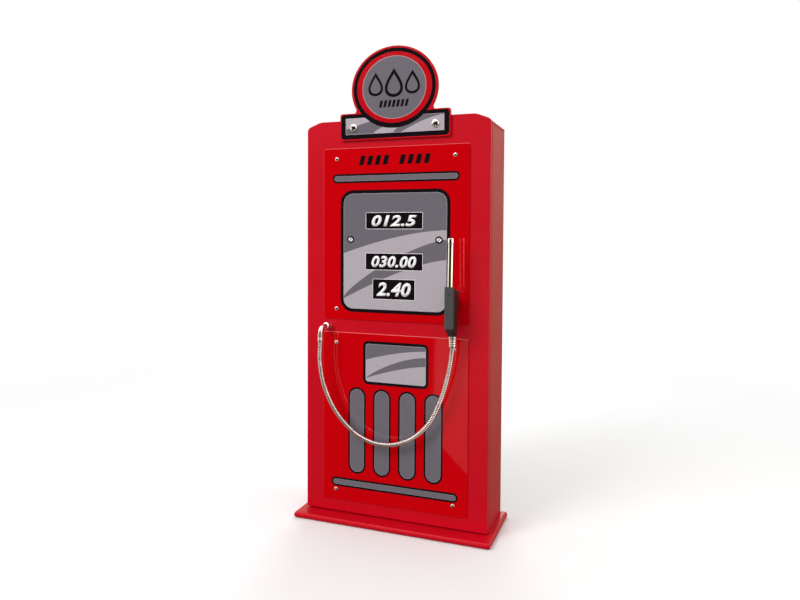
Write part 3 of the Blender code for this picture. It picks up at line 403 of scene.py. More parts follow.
def arc(centre, radii, start, end, steps):
    """Points on an ellipse's arc, in X and Z; angles in degrees."""
    points = []
    for step in range(steps + 1):
        angle = math.radians(start + (end - start) * step / steps)
        points.append((centre[0] + radii[0] * math.cos(angle), centre[1] + radii[1] * math.sin(angle)))
    return points


def oval(centre, radii, steps):
    return arc(centre, radii, 0.0, 360.0, steps)[:-1]


def rounded(low, high, radius, steps=10):
    (x0, z0), (x1, z1) = low, high
    points = []
    for x, z, start in ((x1 - radius, z0 + radius, -90), (x1 - radius, z1 - radius, 0),
                        (x0 + radius, z1 - radius, 90), (x0 + radius, z0 + radius, 180)):
        points += arc((x, z), (radius, radius), start, start + 90, steps)
    return points


def softened(outline, corners, radius, steps=6):
    """The outline with its listed corners replaced by small curves."""
    points = []
    for index, point in enumerate(outline):
        if index not in corners:
            points.append(point)
            continue
        here = Vector(point)
        before = (Vector(outline[index - 1]) - here).normalized() * radius
        after = (Vector(outline[(index + 1) % len(outline)]) - here).normalized() * radius
        for step in range(steps + 1):
            share = step / steps
            curve = here + before * (1 - share) ** 2 + after * share ** 2
            points.append((curve.x, curve.y))
    return points


def sheet_mesh(name, islands, back, front):
    """Islands of (outline, hole, hole...) in X and Z, filled and extruded from y=back to y=front."""

    def build(bm):
        for loops in islands:
            edges = []
            for loop in loops:
                ring = [bm.verts.new((x, back, z)) for x, z in loop]
                edges += [bm.edges.new(pair) for pair in zip(ring, ring[1:] + ring[:1])]
            if len(loops) == 1:
                faces = [bm.faces.new(ring)]
            else:
                filled = bmesh.ops.triangle_fill(bm, use_beauty=True, edges=edges)
                faces = [item for item in filled["geom"] if isinstance(item, bmesh.types.BMFace)]
            swept = bmesh.ops.extrude_face_region(bm, geom=faces)
            moved = [item for item in swept["geom"] if isinstance(item, bmesh.types.BMVert)]
            bmesh.ops.translate(bm, verts=moved, vec=(0.0, front - back, 0.0))

    return mesh_from(name, build)


def counter_clockwise(outline):
    area = sum(a[0] * b[1] - b[0] * a[1] for a, b in zip(outline, outline[1:] + outline[:1]))
    return outline if area > 0 else outline[::-1]


def inset(outline, distance):
    """The outline moved inwards along its own corner normals; it runs counter-clockwise."""
    points = []
    for before, here, after in zip(outline[-1:] + outline[:-1], outline, outline[1:] + outline[:1]):
        first = (Vector(here) - Vector(before)).normalized()
        second = (Vector(after) - Vector(here)).normalized()
        inward = Vector((-first.y - second.y, first.x + second.x)).normalized()
        reach = distance / max(inward.dot(Vector((-first.y, first.x))), 0.5)
        points.append((here[0] + inward.x * reach, here[1] + inward.y * reach))
    return points


ROUND_EDGE = ((0.0, 1.0), (0.3, 0.3), (1.0, 0.0))       # along the thickness, inwards


def chamfered_sheet(name, outline, holes, back, front, chamfer):
    """A sheet whose front and back edges are rounded off, with plain holes."""

    def build(bm):
        rings = [ring_at(bm, inset(outline, chamfer * inwards), back - chamfer * along)
                 for along, inwards in ROUND_EDGE]
        rings += [ring_at(bm, inset(outline, chamfer * inwards), front + chamfer * along)
                  for along, inwards in ROUND_EDGE[::-1]]
        for first, second in zip(rings, rings[1:]):
            bridge(bm, first, second)
        caps = [[rings[0]], [rings[-1]]]
        for loop in holes:
            tube = [ring_at(bm, loop, back), ring_at(bm, loop, front)]
            bridge(bm, *tube)
            caps[0].append(tube[0])
            caps[1].append(tube[1])
        for loops in caps:
            edges = [bm.edges.get((a, b)) for ring in loops for a, b in zip(ring, ring[1:] + ring[:1])]
            bmesh.ops.triangle_fill(bm, use_beauty=True, edges=edges)

    mesh = mesh_from(name, build, SHARP)
    keep_flat(mesh)
    return mesh


def ring_at(bm, loop, y):
    return [bm.verts.new((x, y, z)) for x, z in loop]


def keep_flat(mesh):
    """Faces square to an axis stay flat beside the rounded edges."""
    for face in mesh.polygons:
        face.use_smooth = max(abs(part) for part in face.normal) < 0.9999


def turned_mesh(name, profile, steps=64, sharp=35.0):
    """(radius, height) points turned about local Z; a ring if the last point is the first again."""
    is_ring = profile[0] == profile[-1]

    def build(bm):
        rings = []
        for radius, height in profile[:-1] if is_ring else profile:
            angles = [2 * math.pi * step / steps for step in range(steps if radius else 1)]
            rings.append([bm.verts.new((radius * math.cos(a), radius * math.sin(a), height)) for a in angles])
        for first, second in zip(rings, rings[1:] + rings[:1] if is_ring else rings[1:]):
            bridge(bm, first, second)
        for ring in () if is_ring else (rings[0], rings[-1]):
            if len(ring) > 1:
                bm.faces.new(ring)

    return mesh_from(name, build, sharp)


def bridge(bm, first, second):
    count = max(len(first), len(second))
    for step in range(count):
        after = (step + 1) % count
        corners = [first[step % len(first)], first[after % len(first)],
                   second[after % len(second)], second[step % len(second)]]
        bm.faces.new(list(dict.fromkeys(corners)))


def swept_rings(bm, path, radii, steps):
    """Rings of verts along path; each path item is (centre, direction), square to X at the start."""
    rings = []
    side = Vector((1.0, 0.0, 0.0))
    for (centre, along), radius in zip(path, radii):
        side = (side - along * side.dot(along)).normalized()
        up = along.cross(side)
        ring = []
        for step in range(steps):
            angle = 2 * math.pi * step / steps
            reach = radius(angle) if callable(radius) else radius
            ring.append(bm.verts.new(centre + (side * math.cos(angle) + up * math.sin(angle)) * reach))
        rings.append(ring)
    for first, second in zip(rings, rings[1:]):
        bridge(bm, first, second)
    bm.faces.new(rings[0])
    bm.faces.new(rings[-1])


# ---------------------------------------------------------------- hose
HOSE_DIAMETER = 0.014
# sideways, in front of the board's face, and below the outlet
HOSE_ROUTE = (
    (-0.2225, 0.0610, 0.0645), (-0.2245, 0.0600, 0.0955), (-0.2215, 0.0585, 0.1335),
    (-0.2145, 0.0560, 0.1725), (-0.2040, 0.0530, 0.2045), (-0.1910, 0.0500, 0.2355),
    (-0.1715, 0.0465, 0.2685), (-0.1450, 0.0430, 0.3000), (-0.1080, 0.0400, 0.3305),
    (-0.0650, 0.0380, 0.3495), (-0.0310, 0.0370, 0.3550), (0.0030, 0.0360, 0.3540),
    (0.0360, 0.0360, 0.3450), (0.0680, 0.0360, 0.3300), (0.1000, 0.0365, 0.3060),
    (0.1290, 0.0380, 0.2730), (0.1490, 0.0390, 0.2375), (0.1640, 0.0400, 0.2025),
    (0.1750, 0.0400, 0.1715), (0.1835, 0.0410, 0.1405), (0.1905, 0.0410, 0.1105),
    (0.1955, 0.0410, 0.0805),
)
HOSE_PITCH = 0.0056             # one turn of the interlocked strip
HOSE_GROOVE = 0.25              # depth of the groove as a share of the radius
HOSE_RING_STEP = 0.00055
HOSE_SIDES = 28


def foot_centre(node):
    low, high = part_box(node)
    return Vector(((low.x + high.x) / 2, (low.y + high.y) / 2, low.z))


def curve_point(four, share):
    """Catmull-Rom curve between the middle two of four points."""
    before, start, end, after = four
    cubic = -before + 3 * start - 3 * end + after
    square = 2 * before - 5 * start + 4 * end - after
    return 0.5 * (2 * start + (end - before) * share + square * share ** 2 + cubic * share ** 3)


def hose_line():
    """The hose's centreline from its sleeve to the nozzle's ferrule, evenly spaced."""
    first = foot_centre("hose_sleeve") - Vector((0.0, 0.0, GAP))
    last = foot_centre("hose_ferrule") - Vector((0.0, 0.0, GAP))
    up = Vector((0.0, 0.0, 0.030))
    knots = [first + up, first]
    knots += [Vector((x, FACE_Y - out, OUTLET.z - drop)) for x, out, drop in HOSE_ROUTE]
    knots += [last, last + up]
    dense = [curve_point(knots[index - 1:index + 3], step / 40)
             for index in range(1, len(knots) - 2) for step in range(40)] + [last]
    spans = [(b - a).length for a, b in zip(dense, dense[1:])]
    count = round(sum(spans) / HOSE_RING_STEP)
    line, travelled, number = [dense[0]], 0.0, 1
    for start, end, span in zip(dense, dense[1:], spans):
        while number < count and sum(spans) * number / count <= travelled + span:
            line.append(start.lerp(end, (sum(spans) * number / count - travelled) / span))
            number += 1
        travelled += span
    return line + [dense[-1]]


def groove(turns):
    """Depth of the strip's groove, 0 to 1, at a number of turns along."""
    return (0.5 + 0.5 * math.cos(2 * math.pi * turns)) ** 3


def make_hose():
    line = hose_line()
    total = len(line) - 1
    path, radii = [], []
    for number, centre in enumerate(line):
        along = (line[min(number + 1, total)] - line[max(number - 1, 0)]).normalized()
        if number in (0, total):
            along = Vector((0.0, 0.0, -1.0 if number == 0 else 1.0))
        travelled = number * HOSE_RING_STEP
        path.append((centre, along))
        radii.append(lambda angle, travelled=travelled: HOSE_DIAMETER / 2 * (
            1 - HOSE_GROOVE * groove(travelled / HOSE_PITCH - angle / (2 * math.pi))))
    mesh = mesh_from("hose_tube", lambda bm: swept_rings(bm, path, radii, HOSE_SIDES), 60.0)
    mesh.materials.append(FINISHES["steel_hose"])
    hose = placed("interlocked_hose", mesh)
    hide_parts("hose")
    tuple(line[0])
    [tuple(point) for point in line]
    tuple(line[-1])
    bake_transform(hose)


make_hose()


# ---------------------------------------------------------------- turned fittings
def ribbed(radius_at, length, grooves, depth, width):
    """A profile along length with round grooves centred on the listed shares."""
    points = []
    steps = 90
    for step in range(steps + 1):
        share = step / steps
        cut = sum(math.exp(-((share - place) * length / width) ** 2) for place in grooves)
        points.append((radius_at(share) - depth * cut, share * length))
    return points


def capped(profile, rim):
    """The profile with rounded rims and flat ends."""
    (r0, z0), (r1, z1) = profile[0], profile[-1]
    inside = [point for point in profile if z0 + rim < point[1] < z1 - rim]
    foot = [(r0 - rim, z0), (r0 - rim * 0.3, z0 + rim * 0.3), (r0, z0 + rim)]
    head = [(r1, z1 - rim), (r1 - rim * 0.3, z1 - rim * 0.3), (r1 - rim, z1)]
    return [(0.0, z0)] + foot + inside + head + [(0.0, z1)]


def make_outlet():
    low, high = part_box("outlet_dome")
    radius, out = (high.x - low.x) / 2, high.y - low.y
    place = (OUTLET.x, high.y, OUTLET.z)
    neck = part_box("hose_elbow")[1].x - OUTLET.x + 2 * GAP
    skirt = 0.0032
    profile = [(neck, 0.0), (radius - 0.0004, 0.0), (radius, 0.0004), (radius, 0.0026), (radius * 0.965, skirt)]
    profile += arc((neck, skirt), (radius * 0.955 - neck, out - skirt), 0.0, 90.0, 14)
    profile.append((neck, 0.0))
    mesh = turned_mesh("outlet_dome_fine", profile)
    piece("outlet_flange", mesh, "door", "chrome", ["outlet_dome"], place, TOWARDS_FRONT)
    nut_radius, belt = 0.0120, 0.0048
    nut = [(neck, 0.0), (0.0102, 0.0), (0.0116, 0.0010), (nut_radius, 0.0028), (nut_radius, belt)]
    nut += arc((0.0, belt), (nut_radius, 0.0112), 6.0, 52.0, 16)
    nut += [(neck, 0.0140), (neck, 0.0)]
    piece("outlet_collar", turned_mesh("outlet_collar_fine", nut), "door", "chrome", (),
          (OUTLET.x, low.y - GAP, OUTLET.z), TOWARDS_FRONT)


SHANK_RADIUS, SHANK_PITCH, SHANK_GROOVE = 0.005, 0.0010, 0.00035
SHANK_END = 0.0045              # in front of the dome's back
ELBOW_TAIL = 0.001              # straight end below the bend


def make_elbow():
    """Threaded shank through the board, then a polished tube that bends down to the sleeve."""
    low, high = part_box("hose_elbow")
    radius = (high.x - low.x) / 2
    reach, tail = low.y + radius, low.z
    bend = OUTLET.z - tail - ELBOW_TAIL
    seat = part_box("outlet_dome")[1].y - SHANK_END
    path, radii = [], []
    shank_steps, bend_steps = 60, 20
    for step in range(shank_steps + 1):
        y = high.y + (seat - high.y) * step / shank_steps
        path.append((Vector((OUTLET.x, y, OUTLET.z)), FRONT))
        wave = 0.5 + 0.5 * math.cos(2 * math.pi * (high.y - y) / SHANK_PITCH)
        radii.append(SHANK_RADIUS - SHANK_GROOVE * wave)
    path.append((Vector((OUTLET.x, seat, OUTLET.z)), FRONT))
    centre = Vector((OUTLET.x, reach + bend, OUTLET.z - bend))
    for step in range(bend_steps + 1):
        angle = math.pi / 2 * step / bend_steps
        outward = Vector((0.0, -math.sin(angle), math.cos(angle)))
        along = Vector((0.0, -math.cos(angle), -math.sin(angle)))
        path.append((centre + outward * bend, along))
    path.append((Vector((OUTLET.x, reach, tail)), Vector((0.0, 0.0, -1.0))))
    radii += [radius] * (len(path) - len(radii))
    mesh = mesh_from("elbow_fine", lambda bm: swept_rings(bm, path, radii, 40), 40.0)
    piece("outlet_elbow", mesh, "door", "chrome", ["hose_elbow"])


def make_sleeve():
    low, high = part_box("hose_sleeve")
    radius, length = (high.x - low.x) / 2, high.z - low.z
    profile = capped(ribbed(lambda share: radius, length, (0.30, 0.45, 0.60), 0.0008, 0.0010), 0.0007)
    piece("crimped_sleeve", turned_mesh("sleeve_fine", profile), "door", "satin", ["hose_sleeve"],
          foot_centre("hose_sleeve"))


def make_ferrule():
    low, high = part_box("hose_ferrule")
    top, length = (high.x - low.x) / 2, high.z - low.z
    end = top * 0.885
    profile = ribbed(lambda share: end + (top - end) * share, length, (0.20, 0.42, 0.64), 0.0009, 0.0011)
    piece("crimped_ferrule", turned_mesh("ferrule_fine", capped(profile, 0.0009)), "nozzle", "satin",
          ["hose_ferrule"], foot_centre("hose_ferrule"))


SPOUT_LEAN = math.radians(2.2)
SPOUT_LENGTH = 0.141
SPOUT_WALL = 0.0018
SPOUT_FLOOR = 0.030             # the bore is closed below this height
TIP_LENGTH = 0.026
TIP_NECK = 0.93                 # share of the tip's radius
TIP_SHOULDER = 0.28             # share of its length


def make_spout():
    low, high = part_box("spout")
    radius = (high.x - low.x) / 2
    axis = Vector((0.0, math.sin(SPOUT_LEAN), math.cos(SPOUT_LEAN)))
    foot = Vector(((low.x + high.x) / 2, low.y + radius * axis.z, low.z + radius * axis.y))
    turn = (-SPOUT_LEAN, 0.0, 0.0)
    bore = radius - SPOUT_WALL
    profile = [(0.0, 0.0), (radius, 0.0), (radius, SPOUT_LENGTH - 0.0005), (radius - 0.0005, SPOUT_LENGTH),
               (bore, SPOUT_LENGTH), (bore, SPOUT_FLOOR), (0.0, SPOUT_FLOOR)]
    piece("spout_tube", turned_mesh("spout_fine", profile), "nozzle", "chrome", ["spout"], foot, turn)
    tip_low, tip_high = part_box("spout_tip")
    outer = (tip_high.x - tip_low.x) / 2
    neck = outer * TIP_NECK
    profile = [(bore, 0.0), (neck - 0.0004, 0.0), (neck, 0.0004), (neck, TIP_LENGTH * TIP_SHOULDER)]
    for step in range(1, 7):
        swell = 0.5 - 0.5 * math.cos(math.pi * step / 6)
        profile.append((neck + (outer - neck) * swell, TIP_LENGTH * (TIP_SHOULDER + 0.02 * step)))
    profile += [(outer, TIP_LENGTH - 0.0016), (outer - 0.0005, TIP_LENGTH - 0.0004),
                (outer - 0.0012, TIP_LENGTH), (bore + 0.0004, TIP_LENGTH),
                (bore, TIP_LENGTH - 0.0004), (bore, 0.0)]
    piece("spout_end", turned_mesh("tip_fine", profile), "nozzle", "chrome", ["spout_tip"],
          foot + axis * (SPOUT_LENGTH + GAP), turn)


make_outlet()
make_elbow()
make_sleeve()
make_ferrule()
make_spout()


# ---------------------------------------------------------------- screws
THREAD_RADIUS = 0.0018
HEAD_RIM = 0.22                 # share of the head's height below its dome
SLOT_BEVEL = 0.00012


def screw_mesh(name, radius, height, shank, slot, steps=48):
    """Domed, slotted head above z=0 with a slight rolled rim, and its shank below."""
    profile = [(0.0, -shank), (THREAD_RADIUS, -shank + 0.003), (THREAD_RADIUS, 0.0), (radius * 0.96, 0.0),
               (radius, height * 0.10), (radius, height * HEAD_RIM)]
    profile += arc((0.0, height * HEAD_RIM), (radius, height * (1 - HEAD_RIM)), 8.0, 82.0, 12)
    profile.append((0.0, height))
    width, depth = slot

    def bar(bm):
        bmesh.ops.create_cube(bm, size=1.0)
        for vert in bm.verts:
            vert.co.x = math.copysign(radius * 1.5, vert.co.x)
            vert.co.y = math.copysign(width / 2, vert.co.y)
            vert.co.z = height * 1.5 if vert.co.z > 0 else height - depth

    cutter = placed(name + "_slot", mesh_from(name + "_slot", bar))
    made = settled(name, turned_mesh(name + "_blank", profile, steps), [
        ("BOOLEAN", {"object": cutter, "solver": "EXACT"}),
        ("BEVEL", {"width": SLOT_BEVEL, "segments": 2, "limit_method": "ANGLE",
                   "angle_limit": math.radians(50)}),
    ])
    bpy.data.objects.remove(cutter, do_unlink=True)
    return made


def head_place(node):
    """The middle of the screw's head, in X and Z."""
    low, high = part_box(node)
    return (low.x + high.x) / 2, (low.z + high.z) / 2


PANEL_SLOTS = (10, -35, 8, 60, -48, 20, 75, 0)         # how far each slot is turned, in degrees
SIGN_SLOTS = (("left", 25), ("right", -30))


def place_screws(kind, first, under, slot, steps, prefix, turns):
    """One mesh, sized from the first node, for every (node, turn)."""
    low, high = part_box(first)
    mesh = screw_mesh(kind + "_screw_fine", (high.x - low.x) / 2, under - low.y, high.y - under, slot, steps)
    for node, turn in turns:
        x, z = head_place(node)
        piece(prefix + node, mesh, "door", "chrome", [node], (x, under, z),
              (math.pi / 2, math.radians(turn), 0.0))


def make_screws():
    panel = [("panel_screw_%d" % number, turn) for number, turn in enumerate(PANEL_SLOTS, 1)]
    place_screws("panel", "panel_screw_1", PANEL_FACE - GAP, (0.0014, 0.0016), 48, "slotted_", panel)
    sign = [("sign_screw_" + side, turn) for side, turn in SIGN_SLOTS]
    place_screws("sign", "sign_screw_left", SIGN_FACE - GAP, (0.0028, 0.0034), 64, "domed_", sign)


make_screws()


def studs_mesh(name, centres, radius, height, y, outward):
    """Low domes on a face at y; outward is -1 for a face that looks to the front, 1 for the back."""

    def build(bm):
        for x, z in centres:
            rings = []
            for share, rise in ((1.0, 0.0), (0.95, 0.45), (0.65, 0.85)):
                loop = oval((x, z), (radius * share, radius * share), 18)
                rings.append(ring_at(bm, loop, y + outward * height * rise))
            rings.append([bm.verts.new((x, y + outward * height, z))])
            for first, second in zip(rings, rings[1:]):
                bridge(bm, first, second)
            bm.faces.new(rings[0])

    return mesh_from(name, build, 60.0)


STAND_OFF = 0.00002             # a thin layer's clearance from the face under it
NAIL_MARGIN, NAIL_RADIUS, NAIL_HEIGHT = 0.007, 0.0021, 0.0006


def make_nails():
    """Small nails that hold the back panel on the cabinet's edges."""
    low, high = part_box("back_panel")
    columns, rows = 4, 9
    xs = [low.x + NAIL_MARGIN + (high.x - low.x - 2 * NAIL_MARGIN) * step / columns
          for step in range(columns + 1)]
    zs = [low.z + NAIL_MARGIN + (high.z - low.z - 2 * NAIL_MARGIN) * step / rows
          for step in range(rows + 1)]
    centres = [(x, z) for x in xs for z in (zs[0], zs[-1])]
    centres += [(x, z) for z in zs[1:-1] for x in (xs[0], xs[-1])]
    mesh = studs_mesh("nails_fine", centres, NAIL_RADIUS, NAIL_HEIGHT, high.y + STAND_OFF, 1)
    piece("back_nails", mesh, "cabinet", "zinc_steel")


HINGE_SCREW_IN = 0.0085         # from the board's left edge
HINGE_SCREW_UP = 0.019          # above and below the leaf's middle
HINGE_HEAD, HINGE_SLOT = 0.0034, (0.0008, 0.0056)


def make_hinge_screws():
    """Flush screw heads on the facing sides of the hinge leaves; each slot is a thin black sheet, painted shade
    where the recess would be.
    """
    low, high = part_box("hinge_pin_top")
    axis_y = (low.y + high.y) / 2
    x = BOARD_LOW.x + HINGE_SCREW_IN
    leaves = [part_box("frame_leaf_" + end) for end in ("top", "middle", "bottom")]
    places = [(x, (foot.z + top.z) / 2 + up) for foot, top in leaves
              for up in (-HINGE_SCREW_UP, HINGE_SCREW_UP)]
    for body, side in (("cabinet", 1), ("door", -1)):
        leaf = axis_y + side * (GAP / 2 - STAND_OFF)
        rounds = [[oval(place, (HINGE_HEAD, HINGE_HEAD), 28)] for place in places]
        heads = sheet_mesh(body + "_heads", rounds, leaf, leaf - side * 0.00005)
        piece(body + "_hinge_screws", heads, body, "chrome")
        leaf -= side * 0.00006
        # painted shade: the slots are black sheets laid on the heads, not cuts
        cuts = [[slanted(place, *HINGE_SLOT, math.radians(20))] for place in places]
        slots = sheet_mesh(body + "_slots", cuts, leaf, leaf - side * 0.00003)
        piece(body + "_hinge_slots", slots, body, "black_plastic")


# ---------------------------------------------------------------- boards, panels and sign
BASE_ROUND = 0.0085             # bullnose of the base plate


def make_base():
    """The base plate with its bullnose edge."""
    low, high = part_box("base_plate")

    def block(bm):
        bmesh.ops.create_cube(bm, size=1.0)
        for vert in bm.verts:
            for axis in range(3):
                vert.co[axis] = high[axis] if vert.co[axis] > 0 else low[axis]

    mesh = settled("base_fine", mesh_from("base_block", block), [
        ("BEVEL", {"width": BASE_ROUND, "segments": 10, "limit_method": "NONE"})])
    piece("bullnose_base", mesh, "cabinet", "red_paint", ["base_plate"])


SCREW_HOLE = 0.0024
PANEL_CORNER = 0.008
PANEL_CHAMFER = 0.0014
SIGN_CHAMFER = 0.0010


def hole(x, z):
    return oval((x, z), (SCREW_HOLE, SCREW_HOLE), 20)


def make_panels():
    """Acrylic sheets with polished, chamfered edges."""
    holder = [head_place("holder_screw_" + end) for end in ("upper", "lower")]
    screws = [head_place("panel_screw_%d" % number) for number in range(1, 9)]
    for node in ("upper_panel", "lower_panel"):
        low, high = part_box(node)
        outline = rounded((low.x, low.z), (high.x, high.z), PANEL_CORNER, 12)
        holes = [hole(x, z) for x, z in screws + holder if low.z < z < high.z]
        mesh = chamfered_sheet(node + "_fine", outline, holes, high.y, low.y, PANEL_CHAMFER)
        piece("polished_" + node, mesh, "door", "red_acrylic", [node])


BAR_HALF = 0.180                # sign: half width of the bar
BAR_HEIGHT = 0.084
DISC_UP = 0.154                 # disc centre above the sign's foot
DISC_RADII = (0.141, 0.1275)
SIGN_NECK = 0.010
BAR_RADIUS = 0.009
SIGN_FOOT = SIGN_LOW.z
DISC = (0.0, SIGN_FOOT + DISC_UP)


def make_sign_board():
    bar_top = SIGN_FOOT + BAR_HEIGHT
    start = math.degrees(math.asin((bar_top + SIGN_NECK - DISC[1]) / DISC_RADII[1]))
    disc = arc(DISC, DISC_RADII, start, 180 - start, 120)
    neck = disc[0][0] + SIGN_NECK * 0.4
    bar = [(-neck, bar_top), (-BAR_HALF, bar_top), (-BAR_HALF, SIGN_FOOT), (BAR_HALF, SIGN_FOOT),
           (BAR_HALF, bar_top), (neck, bar_top)]
    outline = softened(bar, (1, 2, 3, 4), BAR_RADIUS) + disc
    holes = [hole(*head_place("sign_screw_" + side)) for side in ("left", "right")]
    mesh = chamfered_sheet("sign_fine", counter_clockwise(outline), holes, SIGN_HIGH.y, SIGN_LOW.y,
                           SIGN_CHAMFER)
    piece("rounded_sign", mesh, "door", "sign_paint", ["sign_board"])


make_base()
make_panels()
make_sign_board()


# ---------------------------------------------------------------- printed graphics
INK = 0.00012                   # thickness of one printed layer
INK_FILL = 0.9                  # share of that step which the layer fills
KEYLINE = 0.0010                # pale line inside each black border


def printed(name, islands, face, level, finish):
    """A printed layer on a face that looks to the front; level 0 lies on the face itself."""
    back = face - STAND_OFF - level * INK
    return piece(name, sheet_mesh(name, islands, back, back - INK * INK_FILL), "door", finish)


def framed(name, shapes, border, keyline=KEYLINE):
    """On the panels: a black border, a pale line inside it and a grey fill, each shape by its inset."""
    inner = border + keyline
    layers = (("_border", (0.0, border), "print_black"), ("_keyline", (border, inner), "print_light"),
              ("_fill", (inner,), "print_grey"))
    for part, insets, finish in layers:
        printed(name + part, [[shape(by) for by in insets] for shape in shapes], PANEL_FACE, 0, finish)


def box_shape(low, high, radius):
    def shape(inset):
        return rounded((low[0] + inset, low[1] + inset), (high[0] - inset, high[1] - inset), radius - inset)
    return shape


def capsule(low, high):
    """A long shape with full-round ends."""
    radius = min(high[0] - low[0], high[1] - low[1]) / 2 - 0.00001
    return box_shape(low, high, radius)


def clipped(polygon, window):
    """The part of a polygon inside a convex window, both counter-clockwise."""
    for start, end in zip(window, window[1:] + window[:1]):
        kept = []
        for before, point in zip(polygon[-1:] + polygon[:-1], polygon):
            sides = [(end[0] - start[0]) * (p[1] - start[1]) - (end[1] - start[1]) * (p[0] - start[0])
                     for p in (before, point)]
            if (sides[0] >= 0) != (sides[1] >= 0):
                share = sides[0] / (sides[0] - sides[1])
                kept.append((before[0] + (point[0] - before[0]) * share,
                             before[1] + (point[1] - before[1]) * share))
            if sides[1] >= 0:
                kept.append(point)
        polygon = kept
    return polygon


def sweep(left, right, lead, power, steps=48):
    """A rising, flattening curve from left to right."""
    points = []
    for step in range(steps + 1):
        share = step / steps
        rise = 1 - (1 - share ** lead) ** power
        points.append((left[0] + (right[0] - left[0]) * share, left[1] + (right[1] - left[1]) * rise))
    return points


def swoosh(name, window, curves):
    """Two light bands over a dark ground; a curve is its two heights, its lead and its power."""
    left = min(x for x, _ in window)
    right = max(x for x, _ in window)
    floor = min(z for _, z in window) - 0.01
    ground, upper, lower = [sweep((left, z0), (right, z1), lead, power) for z0, z1, lead, power in curves]
    bands = [upper + ground[::-1], [(left, floor), (right, floor)] + lower[::-1]]
    printed(name, [[clipped(band, window)] for band in bands], PANEL_FACE, 1, "print_light")


def slanted(centre, width, height, lean):
    """A bar that leans to the right."""
    x, z = centre
    shift = math.tan(lean) * height / 2
    return [(x - width / 2 - shift, z - height / 2), (x + width / 2 - shift, z - height / 2),
            (x + width / 2 + shift, z + height / 2), (x - width / 2 + shift, z + height / 2)]


BAR_LEAN = math.radians(14)


HEADING_DOWN, HEADING_BAR, HEADING_STEP = 0.0405, (0.0155, 0.0290), 0.0265


def make_heading():
    """Two groups of slanted bars above the upper bar."""
    z = UPPER_HIGH.z - HEADING_DOWN
    places = [start + HEADING_STEP * step for start in (-0.1065, 0.0270) for step in range(4)]
    bars = [[slanted((x, z), *HEADING_BAR, BAR_LEAN)] for x in places]
    printed("heading_bars", bars, PANEL_FACE, 0, "print_black")


LINE = 0.0060                   # black outline of bars and slots
FINE_LINE = 0.0005              # pale line inside that outline


DISPLAY_BORDER = 0.0108


def make_upper_print():
    top, foot = UPPER_HIGH.z, UPPER_LOW.z
    framed("upper_bar", [capsule((-0.2085, top - 0.1095), (0.2085, top - 0.0810))], LINE, FINE_LINE)
    shape = box_shape((-0.1805, foot + 0.025), (0.1805, foot + 0.408), 0.042)
    framed("display", [shape], DISPLAY_BORDER)
    curves = [(foot + 0.210, foot + 0.283, 1.0, 1.65), (foot + 0.074, foot + 0.2545, 0.85, 1.35),
              (foot + 0.067, foot + 0.1935, 1.0, 1.42)]
    swoosh("display_bands", shape(DISPLAY_BORDER + KEYLINE), curves)


# digits, half width, foot and top above the upper panel's foot, half width of the digits
READOUTS = (
    ("012.5", 0.0940, 0.2860, 0.3380, 0.0740),
    ("030.00", 0.0945, 0.1590, 0.2120, 0.0740),
    ("2.40", 0.0700, 0.0680, 0.1320, 0.0570),
)


READOUT_EDGE = 0.0013
READOUT_MARGIN = 0.165          # above and below the digits, as a share of the readout's height
DIGIT_LEAN, DIGIT_BOLD, DIGIT_SPACING = 0.22, 0.0036, 1.06


def digits_mesh(name, text, half_width, low, high):
    """Bold leaning digits, fitted to a width and a height."""
    font = bpy.data.curves.new(name, "FONT")
    font.body = text
    font.size = 0.1
    font.shear = DIGIT_LEAN
    font.offset = DIGIT_BOLD
    font.space_character = DIGIT_SPACING
    font.resolution_u = 5
    flat = evaluated(placed(name, font))
    xs = [vert.co.x for vert in flat.vertices]
    ys = [vert.co.y for vert in flat.vertices]
    wide = 2 * half_width / (max(xs) - min(xs))
    tall = (high - low) / (max(ys) - min(ys))
    back = PANEL_FACE - STAND_OFF - 3 * INK

    def build(bm):
        bm.from_mesh(flat)
        bmesh.ops.remove_doubles(bm, verts=bm.verts, dist=0.00001)
        for vert in bm.verts:
            x = (vert.co.x - min(xs)) * wide - half_width
            vert.co = Vector((x, back, (vert.co.y - min(ys)) * tall + low))
        swept = bmesh.ops.extrude_face_region(bm, geom=bm.faces[:])
        moved = [item for item in swept["geom"] if isinstance(item, bmesh.types.BMVert)]
        bmesh.ops.translate(bm, verts=moved, vec=(0.0, -INK * INK_FILL, 0.0))

    mesh = mesh_from(name, build)
    mesh.materials.clear()
    return mesh


def make_readouts():
    for number, (text, half, foot, top, reach) in enumerate(READOUTS, 1):
        name = "readout_%d" % number
        low, high = UPPER_LOW.z + foot, UPPER_LOW.z + top
        shape = box_shape((-half, low), (half, high), 0.0016 + READOUT_EDGE)
        printed(name + "_edge", [[shape(0.0), shape(READOUT_EDGE)]], PANEL_FACE, 2, "print_white")
        printed(name + "_field", [[shape(READOUT_EDGE)]], PANEL_FACE, 2, "print_black")
        margin = (high - low) * READOUT_MARGIN
        mesh = digits_mesh(name + "_digits", text, reach, low + margin, high - margin)
        piece(name + "_digits", mesh, "door", "print_white")


DRAWN_SCREW, DRAWN_RING = (0.0122, 0.0110), 0.0046


def make_printed_screws():
    """Two screw heads drawn on the display."""
    z = UPPER_LOW.z + 0.2536
    inner = tuple(radius - DRAWN_RING for radius in DRAWN_SCREW)
    for side, x in (("left", -0.1455), ("right", 0.1455)):
        name = "drawn_screw_" + side
        rim, head = oval((x, z), DRAWN_SCREW, 48), oval((x, z), inner, 48)
        printed(name + "_rim", [[rim, head]], PANEL_FACE, 2, "print_black")
        printed(name + "_head", [[head]], PANEL_FACE, 2, "print_white")
        lean = math.radians(38)
        cuts = [[slanted((x + shift, z), 0.0018, 0.0120, lean)] for shift in (-0.0020, 0.0020)]
        printed(name + "_slot", cuts, PANEL_FACE, 3, "print_black")


SLOT_PITCH = 0.0844


